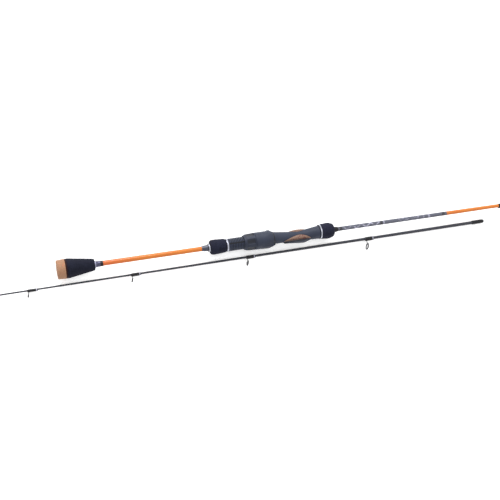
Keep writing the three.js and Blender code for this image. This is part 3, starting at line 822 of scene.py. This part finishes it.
def window_block(window, side, margin, inner, outer):
    """A block going out through one window, shrunk by margin; side is 1, or -1 for a mirrored one."""
    angle, middle, half, arch, skew, tips, base = window
    half, arch, base = half - 2 * margin, arch - margin, base + margin
    left, right = (-half, tips), (half, tips)
    outline = [*curve(left, (skew, 2 * arch - tips), right), *curve(right, (0, 2 * base - tips), left)]
    deselect_all()
    bpy.ops.mesh.primitive_circle_add(vertices=len(outline), radius=MM, fill_type="NGON")
    shape = bpy.context.object
    for vertex, (x, y) in zip(shape.data.vertices, outline):
        vertex.co = ((middle + x) * MM, side * y * MM, -outer * MM)
    edit_all()
    bpy.ops.mesh.extrude_region_move(TRANSFORM_OT_translate={"value": (0, 0, (outer - inner) * MM)})
    bpy.ops.object.mode_set(mode="OBJECT")
    tidy_mesh()
    return move_piece(shape, Matrix.Rotation(math.radians(side * angle), 4, "X"))


def window_blocks(margin, inner, outer):
    return [window_block(window, side, margin, inner, outer)
            for window, side in ((SIDE_WINDOW, 1), (SIDE_WINDOW, -1), (PALM_WINDOW, 1))]


def below_slant(first, second):
    """The wedge under a slanted line on the foot side, which bares a hood's mouth."""
    (x0, z0), (x1, z1) = first, second
    wedge = block((x0, x1), (-20 * MM, 20 * MM), (-22 * MM, max(z0, z1)))
    for vertex in wedge.data.vertices:
        if vertex.co.z > -21 * MM:
            vertex.co.z = z0 if abs(vertex.co.x - x0) < 1e-6 else z1
    return wedge


def radius_of(finish):
    parts = finish.node("ShaderNodeSeparateXYZ", {"Vector": finish.place})
    squares = finish.math("ADD", finish.math("MULTIPLY", parts.outputs["Y"], parts.outputs["Y"]),
                          finish.math("MULTIPLY", parts.outputs["Z"], parts.outputs["Z"]))
    return finish.math("SQRT", squares)


def thread_groove_shade(finish):
    """1 at the bottom of the barrel's thread, where painted shade darkens it, 0 on its crests and ahead of it."""
    depth = finish.node("ShaderNodeMapRange", {
        "Value": radius_of(finish), "From Min": 8.75 * MM, "From Max": 9.45 * MM, "To Min": 1.0,
        "To Max": 0.0})
    parts = finish.node("ShaderNodeSeparateXYZ", {"Vector": finish.place})
    on_barrel = band_mask(finish, parts.outputs["X"], 250 * MM, 320 * MM)
    off_bed = finish.math("GREATER_THAN", parts.outputs["Z"], -8.6 * MM)
    return finish.math("MULTIPLY", finish.math("MULTIPLY", depth.outputs["Result"], on_barrel), off_bed)


def hood_lip_shadow(finish):
    """1 in the groove round the hood's front edge, painted dark there as a shadow gap."""
    return band_mask(finish, finish.along(), 322.0 * MM, 323.9 * MM, 0.2 * MM)


def nut_recess_shade(finish):
    """1 on the floors of the nut's panels, which get painted shade."""
    low = finish.node("ShaderNodeMapRange", {
        "Value": radius_of(finish), "From Min": 11.5 * MM, "From Max": 12.3 * MM, "To Min": 0.75,
        "To Max": 0.0})
    return finish.math("MULTIPLY", low.outputs["Result"],
                       band_mask(finish, finish.along(), 279.4 * MM, 292.4 * MM))


def hood_strip_shadow(finish):
    """1 on the strip along the fixed hood, just under the side windows, painted dark as the shadow there."""
    parts = finish.node("ShaderNodeSeparateXYZ", {"Vector": finish.place})
    along = band_mask(finish, parts.outputs["X"], 338 * MM, 378 * MM, 2 * MM)
    return finish.math("MULTIPLY", along, band_mask(finish, parts.outputs["Z"], -9.6 * MM, -8.3 * MM,
        0.2 * MM))


class ROD_OT_reel_seat(bpy.types.Operator):
    """Threaded barrel and skeleton fore-body with its windows, foot bed and fixed hood"""

    bl_idname = "rod.reel_seat"
    bl_label = "Reel seat"

    def execute(self, context):
        settings = context.scene.rod_settings
        # the strip along the fixed hood under the side windows gets painted shadow
        plastic = plastic_finish("seat_plastic", BUTT, tuple(settings.seat), hood_strip_shadow)
        barrel = self.barrel(settings.thread_depth)
        # the barrel's thread grooves get painted shade
        threaded = plastic_finish("barrel_plastic", BUTT, tuple(part * 1.3 for part in settings.seat),
            thread_groove_shade)
        finish_piece(barrel, "seat_barrel", BUTT, "butt_section", ["reel_seat"], threaded, 50)
        body = self.fore_body()
        soften_by_remesh(body, settings.seat_voxel, 4)
        cut(body, below_slant((334 * MM, -9.5 * MM), (372.6 * MM, -13.35 * MM)))
        finish_piece(body, "seat_fore_body", BUTT, "butt_section", ["reel_seat"], plastic, 60)
        return {"FINISHED"}

    def barrel(self, depth):
        """A tube whose skin is worked into a right-hand thread, with a keyway along it."""
        start = span("reel_seat", BUTT)[0]
        radius = 9.65 * MM
        end = FORE_START * MM + 0.3 * MM
        rings = int((end - start) / (THREAD_PITCH / 10))
        tube = turned([(start + (end - start) * i / rings, radius) for i in range(rings + 1)], 72,
            bore=7 * MM)
        thread_start, thread_end = start + 1.2 * MM, 320 * MM
        for vertex in tube.data.vertices:
            around = math.hypot(vertex.co.y, vertex.co.z)
            if around < radius - 1e-5 or not thread_start < vertex.co.x < thread_end:
                continue
            angle = math.atan2(vertex.co.y, vertex.co.z)
            turn = (vertex.co.x / THREAD_PITCH - angle / (2 * math.pi)) % 1
            groove = min(max((abs(turn - 0.5) - 0.12) / 0.2, 0), 1)
            scale = (radius - depth * (1 - groove)) / around
            vertex.co.y *= scale
            vertex.co.z *= scale
        keyway = block((start - MM, 322.5 * MM), (-20 * MM, MM - radius),
            (KEY_Z - 1.1 * MM, KEY_Z + 1.1 * MM))
        flat = block((279.7 * MM, 340 * MM), (-20 * MM, 20 * MM), (-20 * MM, -FOOT_BED))
        return cut(tube, keyway, flat)

    def fore_body(self):
        wide = (-20 * MM, 20 * MM)
        body = fore_skin(0)
        cut(body, block((324 * MM, 376.7 * MM), wide, (-20 * MM, -FOOT_BED)), *window_blocks(0, 3, 12))
        add(body, self.fixed_hood())
        return cut(body, turned([(324 * MM, 5.2 * MM), (400 * MM, 5.2 * MM)], 64))

    def fixed_hood(self):
        wide = (-20 * MM, 20 * MM)
        shell = turned(rounded([(336.5 * MM, 10.2 * MM), (345 * MM, 12.9 * MM), (355 * MM, 13.3 * MM),
                                (373 * MM, 13.3 * MM), (385 * MM, 9.9 * MM), (386 * MM, 9.8 * MM)],
                                1.5 * MM, 5))
        only_inside(shell, block((330 * MM, 387 * MM), wide, (-20 * MM, -7.6 * MM)))
        hollow = turned([(330 * MM, 12 * MM), (373 * MM, 12 * MM), (376.7 * MM, 10.8 * MM)])
        only_inside(hollow, block((325 * MM, 380 * MM), wide, (-20 * MM, -FOOT_BED)))
        return cut(shell, hollow)


def fore_skin(proud):
    """The fore-body before it is cut, drawn proud of its own skin."""
    steps = 49
    length = FORE_END - FORE_START
    body = turned([((FORE_START + length * i / steps) * MM, MM) for i in range(steps + 1)])
    for vertex in body.data.vertices:
        around = math.hypot(vertex.co.y, vertex.co.z)
        radius = fore_radius(vertex.co.x, math.atan2(vertex.co.y, vertex.co.z)) + proud
        vertex.co.y *= radius / around
        vertex.co.z *= radius / around
    smooth = body.modifiers.new("flow", "SMOOTH")
    smooth.factor = 0.5
    smooth.iterations = 6
    smooth.use_x = False
    apply_modifiers(body)
    return body


class ROD_OT_seat_core(bpy.types.Operator):
    """Cork-composite core that stands a little proud in the seat's windows"""

    bl_idname = "rod.seat_core"
    bl_label = "Seat core"

    def execute(self, context):
        settings = context.scene.rod_settings
        tube = turned([(334.5 * MM, 5.1 * MM), (389 * MM, 5.1 * MM)], 64, bore=3.6 * MM)
        palm_swell = turned(rounded([
            (349.5 * MM, 6.6 * MM), (353 * MM, 7.6 * MM), (358 * MM, 8.3 * MM), (363.5 * MM, 8.6 * MM),
            (369 * MM, 8.4 * MM), (374 * MM, 7.7 * MM), (378.5 * MM, 6.9 * MM)], 2 * MM, 4))
        far_side, near_side, palm = window_blocks(0.12, 4.4, 12)
        lobes = [only_inside(lobe, limit) for lobe, limit in (
            (far_side, fore_skin(0.4 * MM)), (near_side, fore_skin(0.4 * MM)), (palm, palm_swell))]
        wide = (-20 * MM, 20 * MM)
        for lobe in lobes[:2]:
            cut(lobe, block((330 * MM, 400 * MM), wide, (-20 * MM, -FOOT_BED + 0.2 * MM)))
        join_pieces(tube, *lobes)
        soften_by_remesh(tube, settings.seat_voxel, 2)
        cork = cork_finish("seat_cork", BUTT, (0.17, 0.105, 0.075), (0.13, 0.03, 0.025), (0.045, 0.012, 0.01))
        finish_piece(tube, "seat_cork_core", BUTT, "butt_section", ["seat_core"], cork, 60)
        return {"FINISHED"}


class ROD_OT_hood_nut(bpy.types.Operator):
    """Locking nut with six long recessed panels"""

    bl_idname = "rod.hood_nut"
    bl_label = "Hood nut"

    panels = 6

    def execute(self, context):
        settings = context.scene.rod_settings
        start, end, radius = span("hood_nut", BUTT)
        nut = turned(rounded([
            (start, radius - 2.3 * MM), (start + 0.4 * MM, radius - 1.9 * MM),
            (start + 2 * MM, radius - 1.6 * MM),
            (start + 3 * MM, radius - 0.8 * MM), (start + 8 * MM, radius - 0.3 * MM), (end, radius)],
            0.8 * MM, 4),
            bore=9.75 * MM)
        for i in range(self.panels):
            panel = block((279.7 * MM, 292.3 * MM), (-3.9 * MM, 3.9 * MM), (11.5 * MM, 15 * MM))
            turn = Matrix.Rotation((i + 0.5) * 2 * math.pi / self.panels, 4, "X")
            cut(nut, move_piece(panel, turn))
        soften_by_remesh(nut, settings.seat_voxel * 0.7, 2)
        # the floors of the nut's panels get painted shade
        finish_piece(nut, "locking_nut", BUTT, "nut", ["hood_nut"],
                     plastic_finish("nut_plastic", BUTT, tuple(settings.seat), nut_recess_shade), 60)
        return {"FINISHED"}


class ROD_OT_moving_hood(bpy.types.Operator):
    """Sliding hood with its slanted mouth, key and metal lining"""

    bl_idname = "rod.moving_hood"
    bl_label = "Moving hood"

    def execute(self, context):
        settings = context.scene.rod_settings
        start, end, radius = 293.9 * MM, 324.3 * MM, 13.1 * MM
        ribs = [(start, radius - 0.5 * MM), (start + 0.8 * MM, radius - 0.15 * MM)]
        for i in range(4):
            at = start + (8 + 2.2 * i) * MM
            ribs += [(at, radius - 0.05 * MM), (at + 0.3 * MM, radius - 0.3 * MM),
                (at + 0.8 * MM, radius - 0.3 * MM),
                     (at + 1.1 * MM, radius - 0.03 * MM)]
        ribs += [(start + 21.5 * MM, radius - 0.2 * MM), (end - 2.2 * MM, radius - 1.6 * MM),
            (end - 1.9 * MM, radius - 2.3 * MM),
                 (end - 0.4 * MM, radius - 2.5 * MM), (end, radius - 2.6 * MM)]
        hood = turned(rounded(ribs, 0.2 * MM, 2))
        wide = (-20 * MM, 20 * MM)
        bulge = turned(rounded([(298 * MM, 11.5 * MM), (303 * MM, 13.4 * MM), (314 * MM, 13.9 * MM),
                                (323.7 * MM, 13.9 * MM)], 3 * MM, 5))
        add(hood, only_inside(bulge, block((290 * MM, 330 * MM), (-8.8 * MM, 8.8 * MM),
            (-20 * MM, -7.5 * MM))))
        pocket = turned([(302.5 * MM, 11 * MM), (304.5 * MM, 12.5 * MM), (330 * MM, 12.5 * MM)])
        only_inside(pocket, block((290 * MM, 331 * MM), (-8.2 * MM, 8.2 * MM), (-20 * MM, -FOOT_BED)))
        cut(hood, turned([(290 * MM, 10.3 * MM), (330 * MM, 10.3 * MM)], 64), pocket)
        bump = turned(rounded([(312.6 * MM, 12 * MM), (314.6 * MM, 13.9 * MM), (318.4 * MM, 13.9 * MM),
                               (320.4 * MM, 12 * MM)], 1.5 * MM, 5))
        add(hood, only_inside(bump, block((312 * MM, 321 * MM), (-3 * MM, 3 * MM), (11.4 * MM, 16 * MM))))
        add(hood, block((299 * MM, 311 * MM), (-10.8 * MM, -8.95 * MM), (KEY_Z - 0.8 * MM, KEY_Z + 0.8 * MM)))
        soften_by_remesh(hood, settings.seat_voxel, 3)
        cut(hood, below_slant((314.2 * MM, -14 * MM), (324.7 * MM, -9.9 * MM)))
        # the groove round the hood's front edge gets painted shadow
        finish_piece(hood, "sliding_hood", BUTT, "hood", ["moving_hood"],
                     plastic_finish("hood_plastic", BUTT, tuple(settings.seat), hood_lip_shadow), 60)
        plate = turned([(306 * MM, 12.4 * MM), (311 * MM, 12.4 * MM)], bore=11.9 * MM)
        only_inside(plate, block((290 * MM, 330 * MM), (-7.6 * MM, 7.6 * MM), (-20 * MM, -9.5 * MM)))
        bevel_edges(plate, 0.08 * MM, 2)
        finish_piece(plate, "hood_lining", BUTT, "hood", ["hood_liner"],
                     polished_finish("lining_steel", BUTT, tuple(settings.silver), 0.25))
        return {"FINISHED"}


# ---------------------------------------------------------------- blanks


class ROD_OT_blanks(bpy.types.Operator):
    """The two tapered blanks, the spigot end and the ferrule's wraps"""

    bl_idname = "rod.blanks"
    bl_label = "Blanks"

    def execute(self, context):
        settings = context.scene.rod_settings
        taper = [*BUTT_TAPER[:3], (1088.8, 1.96), (1090, 1.7)]
        outline = [(x * MM, radius * MM) for x, radius in taper]
        wall = [(x * MM, (radius - 0.8) * MM) for x, radius in reversed(taper[:4])]
        blank = turned(outline + wall + outline[:1], SLIM_SIDES)
        finish_piece(blank, "butt_section_blank", BUTT, "butt_section", ["butt_blank"],
                     butt_blank_finish(settings))
        outline = [(x * MM, radius * MM) for x, radius in (
            (1, 0.7), (1.4, 0.75), (497, 1.43), (978, 2.47), (1089.4, 2.75), (1090, 2.6), (1090, 2.1),
            (1038, 1.98), (1037.5, 0.6))]
        blank = turned(outline, SLIM_SIDES)
        finish_piece(blank, "tip_section_blank", TIP, "tip_section", ["tip_blank"],
                     tip_blank_finish(settings))
        for node, section, body in (("butt_ferrule_wrap", BUTT, "butt_section"),
                                    ("ferrule_wrap", TIP, "tip_section")):
            start, end, radius = span(node, section)
            wrap = turned(rounded([(start, radius - 0.4 * MM), (start + 1.2 * MM, radius),
                (end - 1.2 * MM, radius),
                                   (end, radius - 0.4 * MM)], 1.2 * MM), SLIM_SIDES, bore=radius - 0.55 * MM)
            finish_piece(wrap, node + "_thread", section, body, [node],
                         wrap_finish(node + "_resin", section))
        return {"FINISHED"}


# ---------------------------------------------------------------- line guides


def ring_place(node, section):
    """A guide ring's middle, inner and outer radius and half width, in its section."""
    inverse = section.inverted()
    points = [inverse @ vertex.co for vertex in frame["nodes"][node].data.vertices]
    middle = sum(points, Vector()) / len(points)
    axis = Vector((math.cos(GUIDE_LEAN), 0, math.sin(GUIDE_LEAN)))
    if section is TIP:
        axis.z = -axis.z
    depths = [(point - middle).dot(axis) for point in points]
    radii = [(point - middle - axis * depth).length for point, depth in zip(points, depths)]
    return middle, min(radii), max(radii), (max(depths) - min(depths)) / 2


def leaned(piece, middle, section):
    lean = GUIDE_LEAN if section is TIP else -GUIDE_LEAN
    return move_piece(piece, Matrix.Translation(middle) @ Matrix.Rotation(lean, 4, "Y"))


def guide_ring(node, section, body, material):
    """The polished insert: a ring with a fully rounded section."""
    middle, inner, outer, half = ring_place(node, section)
    wall = outer - inner
    ring = turned(rounded([(-half, inner + wall * 0.3), (-half, outer), (half, outer),
        (half, inner + wall * 0.3),
                           (half, inner), (0, inner - wall * 0.1), (-half, inner),
                           (-half, inner + wall * 0.3)],
                          wall * 0.45, 4), SLIM_SIDES)
    leaned(ring, middle, section)
    return finish_piece(ring, node + "_insert", section, body, [node], material)


def frame_band(middle, outer, half, section):
    """The metal hoop that holds the insert."""
    wall = 0.7 * MM
    band = turned(rounded([(-half, outer), (-half, outer + wall), (half, outer + wall), (half, outer)],
                          0.25 * MM, 3), SLIM_SIDES, bore=outer)
    return leaned(band, middle, section)


def foot_wrap(node, section, body, blank_radius, raise_by, material):
    """Thread over a guide's foot, raised on the foot side."""
    start, end, _ = span(node, section)
    outline = rounded([(start, blank_radius + 0.15 * MM), (start + 1.3 * MM, blank_radius + 0.5 * MM),
                       (end - 1.3 * MM, blank_radius + 0.5 * MM), (end, blank_radius + 0.15 * MM)],
                       1.3 * MM, 4)
    wrap = turned(outline, SLIM_SIDES, bore=blank_radius * 0.8)
    for vertex in wrap.data.vertices:
        around = math.hypot(vertex.co.y, vertex.co.z)
        if around > blank_radius and vertex.co.z < 0:
            vertex.co.z -= raise_by * (-vertex.co.z / around) ** 2
    return finish_piece(wrap, node + "_thread", section, body, [node], material)


def leg(points, width, thickness):
    """A flat strip through points in the plane of the rod and its foot side."""
    return swept([(x, 0, z) for x, z in points], thickness / 2, width / thickness, 3)


class ROD_OT_single_foot_guides(bpy.types.Operator):
    """The tip section's seven guides: hoop, leg and foot, insert and wrap"""

    bl_idname = "rod.single_foot_guides"
    bl_label = "Single-foot guides"

    def execute(self, context):
        wire = wire_finish("tip_guide_wire", TIP)
        ceramic = ceramic_finish("tip_guide_ceramic", TIP)
        ends = [span(f"guide_{number}_wrap", TIP)[1] for number in range(1, 8)]
        resin = wrap_finish("tip_guide_resin", TIP, [(end - 2.6 * MM, end - 1.2 * MM) for end in ends])
        for number in range(7, 0, -1):
            name = f"guide_{number}"
            middle, _, outer, half = ring_place(name + "_ring", TIP)
            start, end, _ = span(name + "_wrap", TIP)
            blank = height_at(TIP_TAPER, end / MM) * MM
            foot_z = -(blank + 0.35 * MM)
            near = Vector((middle.x, middle.z)) + Vector((math.sin(GUIDE_LEAN), math.cos(GUIDE_LEAN))) * outer
            points = [(end - 1.5 * MM, foot_z), (end - 7 * MM, foot_z), (start + 3.5 * MM, foot_z - 0.1 * MM),
                      (start + 2.2 * MM, foot_z - 0.7 * MM),
                      ((start + 1.5 * MM + near.x) / 2, (foot_z + near.y) / 2),
                      (near.x, near.y - 0.3 * MM)]
            hoop = frame_band(middle, outer, half * 0.85, TIP)
            add(hoop, leg(points, 1.3 * MM, 0.9 * MM))
            finish_piece(hoop, name + "_hoop", TIP, "tip_section", [name + "_frame"], wire)
            guide_ring(name + "_ring", TIP, "tip_section", ceramic)
            foot_wrap(name + "_wrap", TIP, "tip_section", blank, 0.75 * MM, resin)
        return {"FINISHED"}


class ROD_OT_double_foot_guides(bpy.types.Operator):
    """The butt section's two guides, each on two feet under two wraps"""

    bl_idname = "rod.double_foot_guides"
    bl_label = "Double-foot guides"

    def execute(self, context):
        wire = wire_finish("butt_guide_wire", BUTT)
        ceramic = ceramic_finish("butt_guide_ceramic", BUTT)
        resin = wrap_finish("butt_guide_resin", BUTT)
        for name in ("stripper_guide", "second_guide"):
            middle, _, outer, half = ring_place(name + "_ring", BUTT)
            rear_start, rear_end, _ = span(name + "_rear_wrap", BUTT)
            front_start, front_end, _ = span(name + "_front_wrap", BUTT)
            blank = height_at(BUTT_TAPER, rear_start / MM) * MM
            foot_z = -(blank + 0.55 * MM)
            outward = Vector((-math.sin(GUIDE_LEAN), math.cos(GUIDE_LEAN)))
            near = Vector((middle.x, middle.z)) + outward * (outer + 0.35 * MM)
            hoop = frame_band(middle, outer, half * 0.85, BUTT)
            for foot_end, foot_in, inward in ((rear_start, rear_end, 1), (front_end, front_start, -1)):
                points = [(foot_end + inward * 2 * MM, foot_z), (foot_in - inward * 3 * MM, foot_z),
                          (foot_in, foot_z - 0.1 * MM), (foot_in + inward * 2.2 * MM, foot_z - 1.2 * MM),
                          ((foot_in + near.x) / 2, (foot_z + near.y) / 2 - 0.8 * MM),
                          (near.x, near.y - 0.3 * MM)]
                add(hoop, leg(points, 2.4 * MM, 0.9 * MM))
            finish_piece(hoop, name + "_hoop", BUTT, "butt_section", [name + "_frame"], wire)
            guide_ring(name + "_ring", BUTT, "butt_section", ceramic)
            for side in ("rear", "front"):
                foot_wrap(f"{name}_{side}_wrap", BUTT, "butt_section", blank, 0.95 * MM, resin)
        return {"FINISHED"}


class ROD_OT_tip_top(bpy.types.Operator):
    """Tip-top: tube, hoop and insert at the thin end, with its wrap"""

    bl_idname = "rod.tip_top"
    bl_label = "Tip-top"

    def execute(self, context):
        middle, _, outer, half = ring_place("tip_top_ring", TIP)
        near = Vector((middle.x, middle.z)) + Vector((math.sin(GUIDE_LEAN), math.cos(GUIDE_LEAN))) * outer
        tube = turned(rounded([(-0.6 * MM, 0.9 * MM), (0, 1.45 * MM), (9.6 * MM, 1.45 * MM),
            (10 * MM, 1.3 * MM)],
                              0.4 * MM, 3), SLIM_SIDES)
        cut(tube, turned([(0.8 * MM, 0.9 * MM), (11 * MM, 0.95 * MM)], SLIM_SIDES))
        strut = leg([(4 * MM, -1.55 * MM), (1.6 * MM, -1.65 * MM), (-0.4 * MM, -1.6 * MM),
                     (near.x, near.y - 0.2 * MM)], 1.3 * MM, 0.8 * MM)
        add(tube, strut, frame_band(middle, outer, half * 0.85, TIP))
        finish_piece(tube, "tip_top_body", TIP, "tip_section", ["tip_top_frame"],
                     wire_finish("tip_top_wire", TIP))
        guide_ring("tip_top_ring", TIP, "tip_section", ceramic_finish("tip_top_ceramic", TIP))
        start, end, radius = span("tip_top_wrap", TIP)
        wrap = turned(rounded([(start, radius - 0.15 * MM), (start + MM, radius),
            (end - MM, radius - 0.1 * MM),
                               (end, radius - 0.4 * MM)], 0.8 * MM), SLIM_SIDES, bore=0.6 * MM)
        finish_piece(wrap, "tip_top_thread", TIP, "tip_section", ["tip_top_wrap"],
                     wrap_finish("tip_top_resin", TIP))
        return {"FINISHED"}


class ROD_OT_bushings(bpy.types.Operator):
    """Finish for the two arbors hidden inside the reel seat"""

    bl_idname = "rod.bushings"
    bl_label = "Bushings"

    def execute(self, context):
        board = bushing_finish()
        for node in ("seat_bushing_rear", "seat_bushing_front"):
            mesh = frame["nodes"][node].data
            mesh.materials.clear()
            mesh.materials.append(board)
        return {"FINISHED"}


# ---------------------------------------------------------------- floor, lights and camera


class ROD_OT_stage(bpy.types.Operator):
    """Pale floor lit faintly from below, soft lights and the camera above the handle"""

    bl_idname = "rod.stage"
    bl_label = "Stage"

    lens = 56.88
    distance = 1193.69 * MM
    yaw = math.radians(16.9)
    roll = math.radians(8.465)
    aim = 286.97 * MM  # along the butt section
    lift = 12.36 * MM

    def execute(self, context):
        self.floor()
        self.lights()
        self.camera(context)
        return {"FINISHED"}

    def floor(self):
        deselect_all()
        bpy.ops.mesh.primitive_plane_add(size=16, location=(0, 0, -0.2 * MM))
        floor = bpy.context.object
        floor.name = "floor"
        material = bpy.data.materials.new("floor_paper")
        material.use_nodes = True
        shader = material.node_tree.nodes["Principled BSDF"]
        shader.inputs["Base Color"].default_value = (0.96, 0.96, 0.96, 1)
        shader.inputs["Roughness"].default_value = 0.9
        shader.inputs["Emission Color"].default_value = (1, 1, 1, 1)
        shader.inputs["Emission Strength"].default_value = 0.22
        floor.data.materials.append(material)

    def lights(self):
        world = bpy.data.worlds.new("studio")
        world.use_nodes = True
        background = world.node_tree.nodes["Background"]
        background.inputs["Color"].default_value = (1, 1, 1, 1)
        background.inputs["Strength"].default_value = 1.25
        bpy.context.scene.world = world
        self.area_light("key", (-0.3, 2.0, 1.3), 1.2, 60)
        self.area_light("fill", (1.3, 0.9, 2.2), 1.8, 10)

    def area_light(self, name, place, size, power):
        deselect_all()
        bpy.ops.object.light_add(type="AREA", location=place)
        light = bpy.context.object
        light.name = name
        light.data.size = size
        light.data.energy = power
        light.rotation_euler = (-Vector(place)).to_track_quat("-Z", "Y").to_euler()

    def camera(self, context):
        along, across, palm = (Vector(BUTT.col[i][:3]) for i in range(3))
        view = math.cos(self.yaw) * -across - math.sin(self.yaw) * along
        right = (along - view * along.dot(view)).normalized()
        up = view.cross(right)
        tilted_right = math.cos(self.roll) * right - math.sin(self.roll) * up
        tilted_up = math.sin(self.roll) * right + math.cos(self.roll) * up
        deselect_all()
        bpy.ops.object.camera_add()
        camera = bpy.context.object
        camera.name = "catalogue_camera"
        camera.data.sensor_width = 36
        camera.data.lens = self.lens
        camera.data.clip_end = 50
        target = BUTT.translation + along * self.aim - tilted_up * self.lift
        matrix = Matrix((tilted_right, tilted_up, view)).transposed().to_4x4()
        matrix.translation = target + view * self.distance
        camera.matrix_world = matrix
        context.scene.camera = camera
        context.scene.view_settings.view_transform = "Standard"


class ROD_PT_panel(bpy.types.Panel):
    """Every step of the rod, in the order it is made"""

    bl_label = "Spinning rod"
    bl_idname = "ROD_PT_panel"
    bl_space_type = "VIEW_3D"
    bl_region_type = "UI"
    bl_category = "Rod"

    def draw(self, context):
        for name in RodSettings.__annotations__:
            self.layout.prop(context.scene.rod_settings, name)
        for operator in OPERATORS:
            self.layout.operator(operator.bl_idname)


OPERATORS = (
    ROD_OT_stage, ROD_OT_butt_grip, ROD_OT_rear_grip, ROD_OT_reel_seat, ROD_OT_seat_core, ROD_OT_hood_nut,
    ROD_OT_moving_hood, ROD_OT_fore_grip, ROD_OT_blanks, ROD_OT_double_foot_guides,
    ROD_OT_single_foot_guides, ROD_OT_tip_top, ROD_OT_bushings,
)
CLASSES = (RodSettings, *OPERATORS, ROD_PT_panel)


def register():
    for cls in CLASSES:
        bpy.utils.register_class(cls)
    bpy.types.Scene.rod_settings = bpy.props.PointerProperty(type=RodSettings)


def unregister():
    del bpy.types.Scene.rod_settings
    for cls in reversed(CLASSES):
        bpy.utils.unregister_class(cls)


def main():
    register()
    bpy.ops.rod.stage()
    bpy.ops.rod.butt_grip()
    bpy.ops.rod.rear_grip()
    bpy.ops.rod.reel_seat()
    bpy.ops.rod.seat_core()
    bpy.ops.rod.hood_nut()
    bpy.ops.rod.moving_hood()
    bpy.ops.rod.fore_grip()
    bpy.ops.rod.blanks()
    bpy.ops.rod.double_foot_guides()
    bpy.ops.rod.single_foot_guides()
    bpy.ops.rod.tip_top()
    bpy.ops.rod.bushings()


if __name__ == "__main__":
    main()
